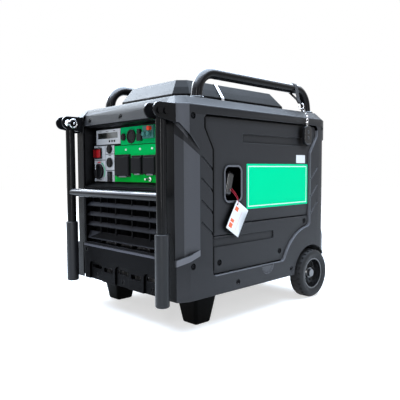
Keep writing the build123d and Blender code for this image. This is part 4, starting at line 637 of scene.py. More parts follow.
def printed_card():
    """White card with plain orange blocks along one edge and a thin line along the other."""
    finish = Finish("printed_card")
    _, y, z = finish.axes()
    aside = y - TAG_HOLE.y
    above = z - TAG_HOLE.z
    across = aside * TAG_ACROSS.y + above * TAG_ACROSS.z
    down = aside * -TAG_UP.y - above * TAG_UP.z
    blocks = 0.0
    for first, last in TAG_BLOCKS:
        blocks = down.within(first, last) | blocks
    band = across.within(*TAG_BAND)
    thin = across.within(*TAG_LINE) * down.within(*TAG_LINE_ENDS)
    fibre = finish.noise(900.0, 4.0)
    paper = finish.mix(fibre, (0.8, 0.8, 0.81, 1.0), grey(0.92))
    blocked = finish.mix(band * blocks, paper, (0.85, 0.16, 0.06, 1.0))
    base = finish.mix(thin, blocked, (0.8, 0.35, 0.36, 1.0))
    return finish.set(base_color=base, roughness=0.5 + 0.12 * fibre)


def terminal_black():
    """Black sockets; the post at the top corner has a red cap and its block is clear blue-green."""
    finish = Finish("socket_black")
    x, y, z = finish.axes()
    cap = (x > POST_CAP_LEFT) * (z > POST_CAP_FOOT) * (y < FRONT + POST_CAP_BACK)
    block = (x > BLOCK_LEFT) * (z > BLOCK_FOOT) - cap
    flow = finish.noise(40.0, 3.0)
    black = finish.mix(flow, grey(0.008), (0.016, 0.016, 0.017, 1.0))
    clear = finish.mix(block, black, (0.05, 0.17, 0.15, 1.0))
    base = finish.mix(cap, clear, (0.75, 0.05, 0.02, 1.0))
    finish.bump(flow, 0.0001)
    return finish.set(base_color=base, roughness=0.3 + 0.1 * flow, specular_ior_level=0.1)


def cover_black(foot):
    """Black outlet cover with a painted highlight along the pull lip at its foot."""
    finish = Finish("cover_black")
    _, _, z = finish.axes()
    grains = finish.noise(1100.0, 1.0)
    face = finish.mix(grains, (0.004, 0.004, 0.005, 1.0), (0.007, 0.007, 0.008, 1.0))
    base = finish.mix(z < foot + COVER_LIP, face, (0.3, 0.31, 0.33, 1.0))
    finish.bump(grains, 0.0001)
    return finish.set(base_color=base, roughness=0.4 + 0.1 * grains, specular_ior_level=0.07)


def rocker_red(colour):
    """Red rocker, with painted shade on the half that is pressed in."""
    finish = Finish("rocker_red")
    x, _, _ = finish.axes()
    flow = finish.noise(24.0, 3.0)
    lit = finish.tints(flow, colour, 0.9, 1.1)
    finish.bump(flow, 0.0001)
    return finish.set(base_color=finish.layers(lit, colour, (x < ROCKER_MIDDLE, 0.35)),
                      roughness=0.2 + 0.06 * flow)


def link(name, data):
    """Put a mesh, curve, lamp or camera into the scene."""
    piece = bpy.data.objects.new(name, data)
    bpy.context.scene.collection.objects.link(piece)
    return piece


def finished(bm, name, material, body):
    """Turn built faces into a piece that rides on a body, or that is left free without one."""
    mesh = bpy.data.meshes.new(name)
    bmesh.ops.recalc_face_normals(bm, faces=bm.faces)
    bm.to_mesh(mesh)
    bm.free()
    piece = link(name, mesh)
    mesh.materials.append(material)
    if body:
        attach(piece, body)
    return piece


def dress(node, material):
    """Give a solid its finish, as it stands."""
    mesh = NODES[node].data
    mesh.materials.clear()
    mesh.materials.append(material)


def soften(node, material, width, smooth=32.0):
    """Show a solid through a copy whose hard edges are rounded off."""
    bm = bmesh.new()
    bm.from_mesh(NODES[node].data)
    bmesh.ops.remove_doubles(bm, verts=bm.verts, dist=WELD_DISTANCE)
    bmesh.ops.dissolve_limit(bm, angle_limit=FLAT_ANGLE, verts=bm.verts, edges=bm.edges)
    for face in bm.faces:
        face.smooth = True
    for edge in bm.edges:
        edge.smooth = len(edge.link_faces) == 2 and edge.calc_face_angle() < radians(smooth)
    piece = finished(bm, node + "_skin", material, BODY_OF[node])
    bevel = piece.modifiers.new("soft_edges", "BEVEL")
    bevel.width = width
    bevel.segments = 2
    bevel.limit_method = "ANGLE"
    bevel.angle_limit = radians(smooth)
    bevel.harden_normals = True
    bevel.use_clamp_overlap = False
    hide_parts(node)
    return piece


def thicken(piece, thickness):
    """Give a thin sheet its thickness, half to each side."""
    solid = piece.modifiers.new("thickness", "SOLIDIFY")
    solid.thickness = thickness
    solid.offset = 0.0


def ring(bm, centre, across, up, radius, count=24, wave=None):
    """Closed ring of points; wave changes the radius with the angle."""
    points = []
    for i in range(count):
        angle = 2 * pi * i / count
        reach = radius if wave is None else wave(angle)
        points.append(bm.verts.new(centre + across * (reach * cos(angle)) + up * (reach * sin(angle))))
    return points


def bridge(bm, first, second):
    """Faces between two rings of as many points."""
    count = len(first)
    for i in range(count):
        after = (i + 1) % count
        face = bm.faces.new((first[i], first[after], second[after], second[i]))
        face.smooth = True


def turned(bm, rings, close=True):
    """Join rings one after another, and close both ends."""
    for first, second in zip(rings, rings[1:]):
        bridge(bm, first, second)
    if close:
        bm.faces.new(rings[0])
        bm.faces.new(rings[-1])


def rings_on(bm, seat, axis, profile):
    """Rings above a seat on a flank, from pairs of height and radius."""
    return [ring(bm, seat + axis * rise, BACK, UP, radius) for rise, radius in profile]


def frame_of(axis):
    """An axis and two directions square to it."""
    axis = Vector(axis).normalized()
    side = axis.orthogonal().normalized()
    return axis, side, axis.cross(side)


def screw_head(bm, seat, axis, radius):
    """Button-head screw with a six-sided socket, its underside on the seat."""
    axis, across, up = frame_of(axis)
    rise = radius * 0.55
    socket = radius * 0.5

    def six(angle):
        return socket * cos(pi / 6) / cos((angle % (pi / 3)) - pi / 6)

    # Shares of the head's height and of its radius
    profile = ((0.0, 1.0), (0.45, 1.0), (0.85, 0.82), (1.0, 0.62))
    rings = [ring(bm, seat + axis * rise * height, across, up, radius * width) for height, width in profile]
    for height in (1.0, 0.35):
        rings.append(ring(bm, seat + axis * rise * height, across, up, socket, wave=six))
    turned(bm, rings)


def slab(bm, outline, axis, depth):
    """Flat plate: an outline of points, thickened along an axis."""
    push = axis * depth
    near = [bm.verts.new(point) for point in outline]
    far = [bm.verts.new(point + push) for point in outline]
    bm.faces.new(near)
    bm.faces.new(far)
    count = len(near)
    for i in range(count):
        after = (i + 1) % count
        bm.faces.new((near[i], near[after], far[after], far[i]))


def soft_rectangle(centre, across, up, size, radius, steps=6):
    """Corner points of a rectangle with rounded corners."""
    points = []
    corners = ((1, 1, 0.0), (-1, 1, 0.5), (-1, -1, 1.0), (1, -1, 1.5))
    reach_x = size[0] / 2 - radius
    reach_y = size[1] / 2 - radius
    for sign_x, sign_y, start in corners:
        middle = centre + across * (sign_x * reach_x) + up * (sign_y * reach_y)
        for i in range(steps + 1):
            angle = pi * (start + 0.5 * i / steps)
            points.append(middle + across * (radius * cos(angle)) + up * (radius * sin(angle)))
    return points


def plates(name, material, body, ways, places, corner, depth, steps=6):
    """Thin plates with rounded corners, as one piece; ways are the directions across, up and out."""
    across, up, out = ways
    bm = bmesh.new()
    for centre, size in places:
        slab(bm, soft_rectangle(centre, across, up, size, corner, steps), out, depth)
    return finished(bm, name, material, body)


def ribbon(path, offsets, smooth):
    """Flat band along a path, whose lines run at offsets from it."""
    bm = bmesh.new()
    rows = [[bm.verts.new(point + offset) for offset in offsets] for point in path]
    for first, second in zip(rows, rows[1:]):
        for i in range(len(offsets) - 1):
            face = bm.faces.new((first[i], first[i + 1], second[i + 1], second[i]))
            face.smooth = smooth
    return bm


def pipe(bm, points, radius, count=12):
    """Round tube along a line of points."""
    rings = []
    for i, point in enumerate(points):
        before = points[max(i - 1, 0)]
        after = points[min(i + 1, len(points) - 1)]
        along, across, up = frame_of(after - before)
        if rings:
            across = (last_across - along * last_across.dot(along)).normalized()
            up = along.cross(across)
        last_across = across
        rings.append(ring(bm, point, across, up, radius, count))
    turned(bm, rings)


COLOUR = {"subtype": "COLOR", "min": 0, "max": 1}
POWER = {"subtype": "POWER", "min": 0}


class CaseLook(bpy.types.PropertyGroup):
    """Colours and edges of the moulded case."""
    charcoal: FloatVectorProperty(
        name="Charcoal", description="Colour of the case", default=(0.021, 0.0212, 0.0232), **COLOUR)
    # Also used for the painted shade on the hood's flanks
    charcoal_dark: FloatVectorProperty(
        name="Dark parts", description="Colour of the grille and the panel tray",
        default=(0.004, 0.004, 0.0046), **COLOUR)
    edge: FloatProperty(
        name="Edge radius", description="How far the case's edges are rounded", subtype="DISTANCE",
        default=0.0016, min=0.0002, max=0.004)
    tube_black: FloatVectorProperty(
        name="Tube black", description="Colour of the handle and the hoops",
        default=(0.005, 0.005, 0.0055), **COLOUR)
    grip_grey: FloatVectorProperty(
        name="Grip grey", description="Colour of the handle grips", default=(0.009, 0.0095, 0.011), **COLOUR)


class TrimLook(bpy.types.PropertyGroup):
    """Colours of the label, the panel and the small parts."""
    label_mint: FloatVectorProperty(
        name="Label mint", description="Colour of the side label", default=(0.0, 0.745, 0.33), **COLOUR)
    panel_green: FloatVectorProperty(
        name="Panel green", description="Foot of the outlet plate", default=(0.0, 0.46, 0.042), **COLOUR)
    panel_teal: FloatVectorProperty(
        name="Panel teal", description="Top of the outlet plate", default=(0.0, 0.42, 0.125), **COLOUR)
    silver: FloatVectorProperty(
        name="Silver", description="Switch and display plates", default=(0.56, 0.57, 0.6), **COLOUR)
    switch_red: FloatVectorProperty(
        name="Switch red", description="Main rocker", default=(0.36, 0.006, 0.01), **COLOUR)
    string_red: FloatVectorProperty(
        name="String red", description="String of the paper tag", default=(0.6, 0.02, 0.05), **COLOUR)


class StageLook(bpy.types.PropertyGroup):
    """Floor, lights and camera."""
    floor_white: FloatProperty(
        name="Floor white", description="How pale the floor looks", default=0.6, min=0, max=1)
    floor_bounce: FloatProperty(
        name="Floor bounce", description="How much light the floor throws back up",
        default=0.35, min=0, max=1)
    top_power: FloatProperty(
        name="Top light", description="Power of the wide light overhead", default=380.0, **POWER)
    left_power: FloatProperty(
        name="Left light", description="Power of the light that shines on the slopes", default=80.0, **POWER)
    key_power: FloatProperty(
        name="Key light", description="Power of the light beside the camera", default=33.0, **POWER)
    strip_power: FloatProperty(
        name="Strip light", description="Power of the tall light on the starter side", default=14.0, **POWER)
    room: FloatProperty(
        name="Room light", description="Strength of the even light from all round", default=0.14, min=0)
    lens: FloatProperty(name="Lens", description="Focal length", default=43.72, min=10, unit="CAMERA")


class GENERATOR_OT_case(bpy.types.Operator):
    """Give the moulded case its charcoal texture, painted light and shade, and soft edges"""
    bl_idname = "generator.case"
    bl_label = "Case"

    def execute(self, context):
        look = context.scene.generator_case
        edge = look.edge
        fine_edge = edge * 0.5
        black = look.charcoal_dark

        def charcoal(name, edge_highlight, tones=None, glints=None):
            return moulded_plastic(name, look.charcoal, 0.45, shine=0.14, edge_highlight=edge_highlight, tones=tones, glints=glints)

        grille = moulded_plastic("grille_black", black, 0.5, shine=0.025, tones=grille_tones)
        skins = (
            (CASE_NODES, charcoal("case_charcoal", EDGE_TONE), edge),
            (SHELL_NODES, charcoal("shell_charcoal", SIDE_EDGE_TONE, pillar_tones, shell_glints), edge),
            (("right_door",), charcoal("door_charcoal", SIDE_EDGE_TONE, door_tones), edge),
            (("top_deck",), charcoal("deck_charcoal", EDGE_TONE, deck_tones), edge),
            (("right_service_cover",), charcoal("cover_charcoal", SIDE_EDGE_TONE, cover_tones), edge),
            (("control_panel",), moulded_plastic("case_black", black, 0.5, shine=0.05), fine_edge),
            (GRILLE_NODES, grille, fine_edge),
        )
        for nodes, material, width in skins:
            for node in nodes:
                soften(node, material, width)
        hood = soften("tank_hood", charcoal("hood_charcoal", EDGE_TONE, hood_tones), edge)
        # Painted shade: faces turned to the sides take a darker copy of the hood's finish
        hood.data.materials.append(moulded_plastic("hood_flank_shade", black, 0.6, tones=hood_tones))
        for face in hood.data.polygons:
            face.material_index = int(abs(face.normal.x) > HOOD_FLANK_FACING)
        self.clip()
        return {"FINISHED"}

    def clip(self):
        """Bent bright clip over the hood's edge on the starter side."""
        half = BACK * 0.0055
        corners = ((118, 665), (121, 664.6), (150.6, 621.6), (150.9, 620.6), (150.9, 602))
        bm = ribbon([spot(x, 257, z) for x, z in corners], (-half, half), smooth=False)
        bright = brushed_metal("clip_bright", (0.5, 0.5, 0.52), 0.3, (40, 900, 40))
        thicken(finished(bm, "hood_clip", bright, "chassis"), 0.0012)


class GENERATOR_OT_screws(bpy.types.Operator):
    """Set black screws in the case's pockets"""
    bl_idname = "generator.screws"
    bl_label = "Case screws"

    def execute(self, context):
        bm = bmesh.new()
        # Places, the seat's millimetres out or back, and for the front the head's radius
        flank_radius = 4.6 * MM
        flanks = ((SHELL_SCREWS, 247), (COVER_SCREWS, 241))
        fronts = ((BAR_SCREWS, 6.0, 4.2), (SKIRT_SCREWS, 7.0, 4.2), (SKIRT_CORNER_SCREWS, 3.0, 4.0))
        for side in (-1, 1):
            for places, seat in flanks:
                for y, z in places:
                    screw_head(bm, spot(side * seat, y, z), (side, 0, 0), flank_radius)
        for places, seat, radius in fronts:
            for x, z in places:
                screw_head(bm, spot(x, seat, z), FORWARD, radius * MM)
        steel = brushed_metal("screw_black", (0.008, 0.008, 0.009), 0.4, (900, 900, 900))
        finished(bm, "case_screws", steel, "chassis")
        return {"FINISHED"}


class GENERATOR_OT_label(bpy.types.Operator):
    """Lay the plain mint label and the blank sticker on the starter-side door"""
    bl_idname = "generator.label"
    bl_label = "Side label"

    def execute(self, context):
        look = context.scene.generator_trim
        mint = side_label(look.label_mint)
        label = [(LABEL_CENTRE, LABEL_SIZE)]
        sticker = [(spot(244, 515, 446.5), (0.048, 0.025))]
        plates("mint_label", mint, "chassis", ON_SIDE, label, corner=0.002, depth=0.0004)
        paper = blank_paper()
        plates("blank_sticker", paper, "chassis", ON_SIDE, sticker, corner=0.0008, depth=0.0003)
        return {"FINISHED"}


class GENERATOR_OT_panel(bpy.types.Operator):
    """Finish the plates, switches and sockets of the control panel"""
    bl_idname = "generator.panel"
    bl_label = "Control panel"

    def execute(self, context):
        look = context.scene.generator_trim
        gloss = gloss_plastic("switch_black", (0.006, 0.006, 0.007), 0.25)
        silver = brushed_metal("plate_silver", look.silver, 0.36, (30, 30, 2600), metallic=0.35)
        dress("switch_plate", silver)
        dress("outlet_plate", outlet_green(look.panel_green, look.panel_teal))
        dress("panel_lenses", display_glass())
        dress("outlet_sockets", terminal_black())
        dress("earth_terminal", brushed_metal("stud_steel", (0.7, 0.7, 0.72), 0.24, (300, 300, 2500)))
        for node in KEY_NODES:
            soften(node, gloss, 0.0004)
        for node in COVER_NODES:
            soften(node, cover_black(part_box(node)[0].z), 0.0006)
        soften("engine_dial", gloss, 0.0008)
        soften("power_rocker", rocker_red(look.switch_red), 0.0006)
        self.display_keys(gloss)
        self.plate_marks()
        self.dial_scale()
        return {"FINISHED"}

    def display_keys(self, gloss):
        """Three small keys in a row below the display."""
        keys = [(spot(x, PLATE_FACE, 499.5), (0.006, 0.006)) for x in (-92, -79, -67)]
        plates("display_keys", gloss, "chassis", ON_PANEL, keys, corner=0.0015, depth=0.0012)

    def plate_marks(self):
        """Plain dashes printed on the silver plates."""
        marks = ((-140, 529.5, 12), (-104, 529.5, 15), (-68, 529.5, 9), (-150, 484, 12), (-92, 458, 14),
                 (-108, 470, 3), (-74, 470, 3), (-108, 398, 3), (-76, 398, 3), (-146, 386, 16))
        dashes = [(spot(x, PLATE_FACE, z), (width * MM, 0.0017)) for x, z, width in marks]
        ink = gloss_plastic("plate_ink", (0.03, 0.03, 0.032), 0.4)
        plates("plate_marks", ink, "chassis", ON_PANEL, dashes,
               corner=0.0005, depth=0.0002, steps=2)

    def dial_scale(self):
        """Red and green arcs round the dial, and its pale pointer."""
        arcs = (
            ("dial_arc_red", (0.7, 0.015, 0.03), 78, 112),
            ("dial_arc_green", (0.01, 0.42, 0.16), -35, 70),
        )
        steps = 16
        inner = 0.0262
        outer = 0.0292
        for name, colour, first, last in arcs:
            bm = bmesh.new()
            angles = [first + (last - first) * i / steps for i in range(steps + 1)]
            outline = [self.on_dial(inner, angle) for angle in angles]
            outline += [self.on_dial(outer, angle) for angle in reversed(angles)]
            slab(bm, outline, FORWARD, 0.0002)
            finished(bm, name, gloss_plastic(name, colour, 0.35), "chassis")
        white = gloss_plastic("pointer_white", (0.7, 0.7, 0.7), 0.4)
        pointer = [(spot(-148, 13.8, 424), (0.0024, 0.014))]
        plates("dial_pointer", white, "dial", ON_PANEL, pointer, corner=0.001, depth=0.0003)

    def on_dial(self, radius, degrees):
        """Point on the plate at a distance and an angle from the dial's middle."""
        angle = radians(degrees)
        return DIAL_CENTRE + Vector((radius * cos(angle), 0, radius * sin(angle)))


class GENERATOR_OT_handles(bpy.types.Operator):
    """Finish the pull handle, its brackets and the carry hoops"""
    bl_idname = "generator.handles"
    bl_label = "Handles"

    def execute(self, context):
        look = context.scene.generator_case
        tube = painted_tube("tube_black", look.tube_black, 0.13)
        for node in TUBE_NODES:
            dress(node, tube)
        # The handle frame gets a stronger painted highlight along its top, most of all on the crossbar
        dress("handle_frame", painted_tube("handle_black", look.tube_black, 0.13, dust_and_sheen=20.0))
        for node in BRACKET_NODES:
            soften(node, tube, 0.0012)
        dress("handle_bolts", brushed_metal("bolt_black", (0.012, 0.012, 0.013), 0.3, (500, 500, 500)))
        self.caps()
        dress("handle_grips", soft_rubber("grip_grey", look.grip_grey, 0.36, shine=0.22))
        return {"FINISHED"}

    def caps(self):
        """Bright domed nut, washer and pin on the inner cheek of each bracket."""
        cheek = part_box("right_handle_bracket")[0].x
        flat = 0.0035
        dome = 0.004
        radius = 0.0098
        pin_seat = 0.004
        curve = [pi * i / 12 for i in range(1, 6)]
        nut = [(0.0, radius), (flat, radius)]
        nut += [(flat + dome * sin(angle), radius * cos(angle)) for angle in curve]
        washer = ((0, 0.0083), (0, 0.0145), (0.0014, 0.0142), (0.0019, 0.0132), (0.0019, 0.0083))
        pin = ((0, 0.0032), (0.0012, 0.003), (0.0018, 0.0018))
        bm = bmesh.new()
        for side in (-1, 1):
            inward = Vector((-side, 0, 0))
            front_bolt = Vector((side * cheek, 0, 0)) + spot(0, -50, 555)
            rear_bolt = Vector((side * cheek, 0, 0)) + spot(0, -30, 555)
            turned(bm, rings_on(bm, front_bolt, inward, nut))
            rings = rings_on(bm, rear_bolt, inward, washer)
            turned(bm, rings + rings[:1], close=False)
            turned(bm, rings_on(bm, rear_bolt + inward * pin_seat, inward, pin))
        chrome = brushed_metal("nut_chrome", (0.82, 0.82, 0.84), 0.14, (500, 500, 500))
        finished(bm, "bracket_nuts", chrome, "chassis")


class GENERATOR_OT_wheels(bpy.types.Operator):
    """Finish the wheels, the axle and the feet"""
    bl_idname = "generator.wheels"
    bl_label = "Wheels and feet"

    def execute(self, context):
        tread = soft_rubber("tyre_black", (0.016, 0.016, 0.017), 0.55)
        rim = gloss_plastic("rim_black", (0.008, 0.008, 0.009), 0.18, shine=0.5)
        for side in ("right", "left"):
            soften(side + "_tyre", tread, 0.0006, smooth=40.0)
            soften(side + "_rim", rim, 0.0008, smooth=40.0)
        foot = soft_rubber("foot_black", (0.0015, 0.0015, 0.0015), 0.5, shine=0.02)
        soften("front_feet", foot, 0.003)
        dress("wheel_axle", brushed_metal("axle_zinc", (0.12, 0.12, 0.125), 0.3, (40, 900, 900)))
        return {"FINISHED"}


class GENERATOR_OT_starter(bpy.types.Operator):
    """Finish the starter grip and make its rope, the paper tag and its red string"""
    bl_idname = "generator.starter"
    bl_label = "Starter and tag"

    def execute(self, context):
        look = context.scene.generator_trim
        dress("recoil_handle", gloss_plastic("starter_black", (0.012, 0.012, 0.013), 0.24, shine=0.5))
        self.rope()
        self.tag()
        self.string(look.string_red)
        return {"FINISHED"}

    def rope(self):
        """Rope from inside the case to the grip, made as it lies at rest."""
        steps = 40
        radius = 0.0025
        start = STARTER_WINDOW
        end = spot(206, 197, 376)
        bm = bmesh.new()
        pipe(bm, [start.lerp(end, i / steps) for i in range(steps + 1)], radius)
        black = twisted_cord("rope_black", (0.03, 0.03, 0.032), 260.0)
        piece = finished(bm, "starter_rope", black, None)
        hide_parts("recoil_rope")
        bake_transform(piece)

    def tag(self):
        """Thin card that hangs by one corner, with a slight bow and a punched hole."""
        hole_radius = 0.0025
        hole_turns = [pi * i / 8 for i in range(16)]
        longest_edge = 0.006
        bow = 0.003
        corner = 0.0015
        middle = TAG_HOLE + TAG_ACROSS * 0.020 - TAG_UP * 0.034
        rim = soft_rectangle(middle, TAG_ACROSS, TAG_UP, TAG_SIZE, corner, steps=3)
        hole = [TAG_HOLE + TAG_ACROSS * (hole_radius * cos(turn)) + TAG_UP * (hole_radius * sin(turn))
                for turn in hole_turns]
        bm = bmesh.new()
        edges = []
        for outline in (rim, hole):
            points = [bm.verts.new(point) for point in outline]
            edges += [bm.edges.new((a, b)) for a, b in zip(points, points[1:] + points[:1])]
        bmesh.ops.triangle_fill(bm, use_beauty=True, edges=edges)
        for _ in range(3):
            long_edges = [edge for edge in bm.edges if edge.calc_length() > longest_edge]
            bmesh.ops.subdivide_edges(bm, edges=long_edges, cuts=1)
        bmesh.ops.triangulate(bm, faces=bm.faces)
        for vert in bm.verts:
            fall = (vert.co - TAG_HOLE).dot(-TAG_UP)
            vert.co.x += bow * (fall / TAG_SIZE[1]) ** 2
        for face in bm.faces:
            face.smooth = True
        piece = finished(bm, "paper_tag", printed_card(), "paper_tag")
        thicken(piece, 0.0006)
        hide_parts("hang_tag")

    def string(self, red):
        """Thin string from the grip through the tag's hole and back."""
        route = ((236.7, 193, 362), (244.7, 196, 354), (256, 202, 336.5), (257.2, 205, 324.5),
                 (254.2, 206.2, 319.9), (251.4, 207, 325.5), (253.6, 209, 338.5), (243.7, 203, 355),
                 (236.7, 201, 363))
        curve = bpy.data.curves.new("tag_string_line", "CURVE")
        curve.dimensions = "3D"
        line = curve.splines.new("NURBS")
        line.points.add(len(route) - 1)
        for point, place in zip(line.points, route):
            point.co = (*spot(*place), 1.0)
        line.order_u = 3
        line.use_endpoint_u = True
        curve.bevel_depth = 0.0007
        curve.bevel_resolution = 3
        curve.resolution_u = 12
        piece = link("red_string", curve)
        curve.materials.append(twisted_cord("string_red", red, 700.0))
        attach(piece, "paper_tag")
        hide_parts("tag_string")


class GENERATOR_OT_remote(bpy.types.Operator):
    """Make the webbing loop, and finish the chain and the fob"""
    bl_idname = "generator.remote"
    bl_label = "Remote"

    def execute(self, context):
        dress("remote_chain", brushed_metal("chain_chrome", (0.8, 0.8, 0.82), 0.16, (600, 600, 600)))
        soften("remote_fob", gloss_plastic("fob_black", (0.008, 0.008, 0.009), 0.14, shine=0.3), 0.0012)
        self.strap()
        self.fob_keys()
        return {"FINISHED"}

    def strap(self):
        """Ribbon over the hoop whose two sides come together and are sewn above the ring."""
        lean = radians(30.0)
        down = Vector((sin(lean), 0, -cos(lean)))
        out = Vector((cos(lean), 0, sin(lean)))
        centre = spot(200, 530, 673)
        radius = 0.0161
        gap = 0.0016
        taper = radius - gap
        drop = 0.044
        end = (-0.0011, 0.0575)
        over = [(radius * cos(pi * i / 20), -radius * sin(pi * i / 20)) for i in range(21)]
        left = [(-radius + taper * i / 6, drop * i / 6) for i in range(1, 7)] + [end]
        right = [(-aside, fall) for aside, fall in reversed(left)]
        path = [centre + out * aside + down * fall for aside, fall in right + over + left]
        half = BACK * 0.008
        bm = ribbon(path, (-half, half * -0.9, half * 0.9, half), smooth=True)
        weave = webbing_weave((0.022, 0.022, 0.024))
        piece = finished(bm, "remote_webbing", weave, "remote")
        thicken(piece, 0.0014)
        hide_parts("remote_strap")
        stitches = []
        pitch = 0.002
        proud = 0.0021
        for fall in (0.047, 0.0505, 0.054):
            for place in range(-3, 4):
                middle = centre + down * fall + out * proud + BACK * (place * pitch)
                stitches.append((middle, (0.0013, 0.0005)))
        thread = twisted_cord("stitch_grey", (0.09, 0.09, 0.095), 900.0)
        plates("strap_stitches", thread, "remote", (BACK, down, out), stitches,
               corner=0.0002, depth=0.0003, steps=2)

    def fob_keys(self):
        """Two round keys on the fob's outer face."""
        key = ((0.0, 0.0058), (0.0006, 0.0054), (0.0009, 0.0042))
        low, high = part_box("remote_fob")
        middle = (low + high) / 2
        bm = bmesh.new()
        for rise in (0.010, -0.008):
            seat = Vector((high.x - 0.0001, middle.y, middle.z + rise))
            turned(bm, rings_on(bm, seat, RIGHT, key))
        dark_grey = gloss_plastic("fob_key_grey", (0.05, 0.05, 0.053), 0.3)
        finished(bm, "fob_keys", dark_grey, "remote")


class GENERATOR_OT_engine(bpy.types.Operator):
    """Finish what shows through the grille and the openings"""
    bl_idname = "generator.engine"
    bl_label = "Engine and tank"

    def execute(self, context):
        cast = cast_metal("engine_cast", (0.42, 0.42, 0.43), 0.5)
        sheet = painted_tube("sheet_black", (0.005, 0.005, 0.0055), 0.5, shine=0.1, dust_and_sheen=1.0)
        black = moulded_plastic("inner_black", (0.012, 0.012, 0.013), 0.5)
        for node in ("engine_crankcase", "engine_cylinder", "inverter_module"):
            dress(node, cast)
        for node in ("base_tray", "recoil_housing"):
            dress(node, sheet)
        for node in ("fuel_tank", "air_cleaner", "battery", "recoil_pulley"):
            dress(node, black)
        dress("crank_rotor", cast_metal("rotor_iron", (0.16, 0.15, 0.15), 0.45))
        dress("alternator_stator", cast_metal("stator_copper", (0.5, 0.2, 0.09), 0.4))
        dress("muffler", brushed_metal("muffler_steel", (0.34, 0.32, 0.3), 0.42, (200, 30, 200)))
        dress("engine_mounts", soft_rubber("mount_rubber", (0.014, 0.014, 0.014), 0.6))
        soften("fuel_cap", moulded_plastic("cap_black", (0.012, 0.012, 0.013), 0.42), 0.0012)
        return {"FINISHED"}


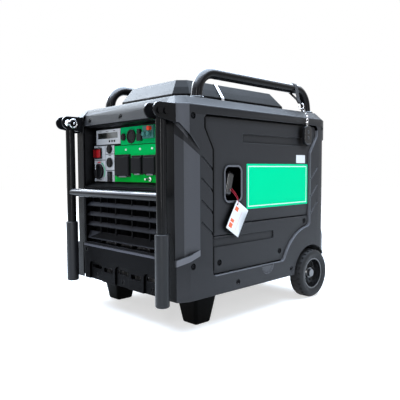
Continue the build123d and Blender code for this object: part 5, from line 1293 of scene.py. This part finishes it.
class GENERATOR_OT_stage(bpy.types.Operator):
    """Set the pale floor, the soft lights and the camera"""
    bl_idname = "generator.stage"
    bl_label = "Studio"

    def execute(self, context):
        look = context.scene.generator_stage
        context.scene.view_settings.view_transform = "Standard"
        self.floor(look.floor_white, look.floor_bounce)
        self.room(look.room)
        lamps = (
            ("top_light", look.top_power, (0.68, 0.82, 1.0), (3.8, 3.8), (-0.3, 0.3, 2.3), (0, 0.1, 0.5)),
            ("left_light", look.left_power, (0.86, 0.93, 1.0), (1.6, 1.6), (-2.2, -0.2, 2.0), (0, -0.1, 0.6)),
            ("key_light", look.key_power, (0.96, 0.98, 1.0), (0.3, 1.7), (2.0, -2.2, 0.95), (0.1, -0.1, 0.4)),
            ("strip_light", look.strip_power, (0.94, 0.97, 1.0), (0.5, 1.6), (3.2, 0, 0.75),
             (0.25, -0.2, 0.4)),
        )
        for name, power, tint, size, place, target in lamps:
            self.lamp(name, power, tint, size, Vector(place), Vector(target))
        self.camera(look.lens)
        return {"FINISHED"}

    def floor(self, white, bounce):
        """White floor that keeps the shadow; as a source of light it counts for little."""
        half = 9
        bm = bmesh.new()
        corners = ((-half, -half), (half, -half), (half, half), (-half, half))
        bm.faces.new([bm.verts.new((x, y, -0.0005)) for x, y in corners])
        mesh = bpy.data.meshes.new("studio_floor")
        bm.to_mesh(mesh)
        bm.free()
        piece = link("studio_floor", mesh)
        finish = Finish("floor_white")
        x, y, _ = finish.axes()
        fade_start = 0.8
        fade_rise = 0.7
        far = (((x * x + y * y) ** 0.5 - fade_start) * fade_rise).held()
        glow = finish.mix(far, grey(0.6), grey(1.0))
        seen = finish.seen()
        pale = finish.mix(finish.noise(3.0, 2.0), grey(white * 0.99), grey(white * 1.01))
        mesh.materials.append(finish.set(
            base_color=finish.mix(seen, grey(bounce), pale), roughness=0.9, specular_ior_level=0.0,
            emission_color=finish.mix(seen, grey(0.0), glow), emission_strength=1.0))

    def room(self, strength):
        """White behind everything and in reflections, softer as a light."""
        world = bpy.data.worlds.new("studio_room")
        bpy.context.scene.world = world
        graph = Graph(world)
        kind = "ShaderNodeBackground"
        light = graph.node(kind, {}, {"Color": (0.92, 0.96, 1.0, 1.0), "Strength": strength})
        white = graph.node(kind, {}, {"Color": grey(1.0), "Strength": 1.0})
        blend = graph.node("ShaderNodeMixShader", {}, {0: graph.seen(), 1: light, 2: white})
        graph.show("ShaderNodeOutputWorld", blend)

    def lamp(self, name, power, tint, size, place, target):
        """Area light of a width and a height, turned to a target."""
        data = bpy.data.lights.new(name, "AREA")
        data.shape = "RECTANGLE"
        data.size, data.size_y = size
        data.energy = power
        data.color = tint
        piece = link(name, data)
        piece.location = place
        piece.rotation_euler = (target - place).to_track_quat("-Z", "Y").to_euler()

    def camera(self, lens):
        """Camera at the front corner on the starter side, a little above the middle."""
        data = bpy.data.cameras.new("studio_camera")
        data.lens = lens
        data.sensor_width = 36.0
        data.sensor_fit = "HORIZONTAL"
        piece = link("studio_camera", data)
        eye = spot(1127.3, -781.8, 414.7)
        yaw = radians(45.94)
        pitch = radians(3.57)
        roll = radians(-0.27)
        forward = Vector((-sin(yaw) * cos(pitch), cos(yaw) * cos(pitch), -sin(pitch)))
        right = Vector((cos(yaw), sin(yaw), 0))
        turn = Matrix((right, right.cross(forward), -forward)).transposed() @ Matrix.Rotation(roll, 3, "Z")
        piece.matrix_world = Matrix.Translation(eye) @ turn.to_4x4()
        bpy.context.scene.camera = piece


class GENERATOR_PT_sidebar(bpy.types.Panel):
    """Lists the generator's pieces and its looks"""
    bl_idname = "GENERATOR_PT_sidebar"
    bl_label = "Portable generator"
    bl_space_type = "VIEW_3D"
    bl_region_type = "UI"
    bl_category = "Generator"

    def draw(self, context):
        for operator in OPERATORS:
            self.layout.operator(operator.bl_idname)
        for look in LOOKS:
            group = getattr(context.scene, look)
            box = self.layout.box()
            for name in group.__annotations__:
                box.prop(group, name)


LOOKS = {"generator_case": CaseLook, "generator_trim": TrimLook, "generator_stage": StageLook}
OPERATORS = (
    GENERATOR_OT_case,
    GENERATOR_OT_screws,
    GENERATOR_OT_label,
    GENERATOR_OT_panel,
    GENERATOR_OT_handles,
    GENERATOR_OT_wheels,
    GENERATOR_OT_starter,
    GENERATOR_OT_remote,
    GENERATOR_OT_engine,
    GENERATOR_OT_stage,
)


def register():
    for name, group in LOOKS.items():
        bpy.utils.register_class(group)
        setattr(bpy.types.Scene, name, PointerProperty(type=group))
    for operator in OPERATORS:
        bpy.utils.register_class(operator)
    bpy.utils.register_class(GENERATOR_PT_sidebar)


def unregister():
    bpy.utils.unregister_class(GENERATOR_PT_sidebar)
    for operator in reversed(OPERATORS):
        bpy.utils.unregister_class(operator)
    for name, group in LOOKS.items():
        delattr(bpy.types.Scene, name)
        bpy.utils.unregister_class(group)


def main():
    register()
    bpy.ops.generator.case()
    bpy.ops.generator.screws()
    bpy.ops.generator.label()
    bpy.ops.generator.panel()
    bpy.ops.generator.handles()
    bpy.ops.generator.wheels()
    bpy.ops.generator.starter()
    bpy.ops.generator.remote()
    bpy.ops.generator.engine()
    bpy.ops.generator.stage()


if __name__ == "__main__":
    main()
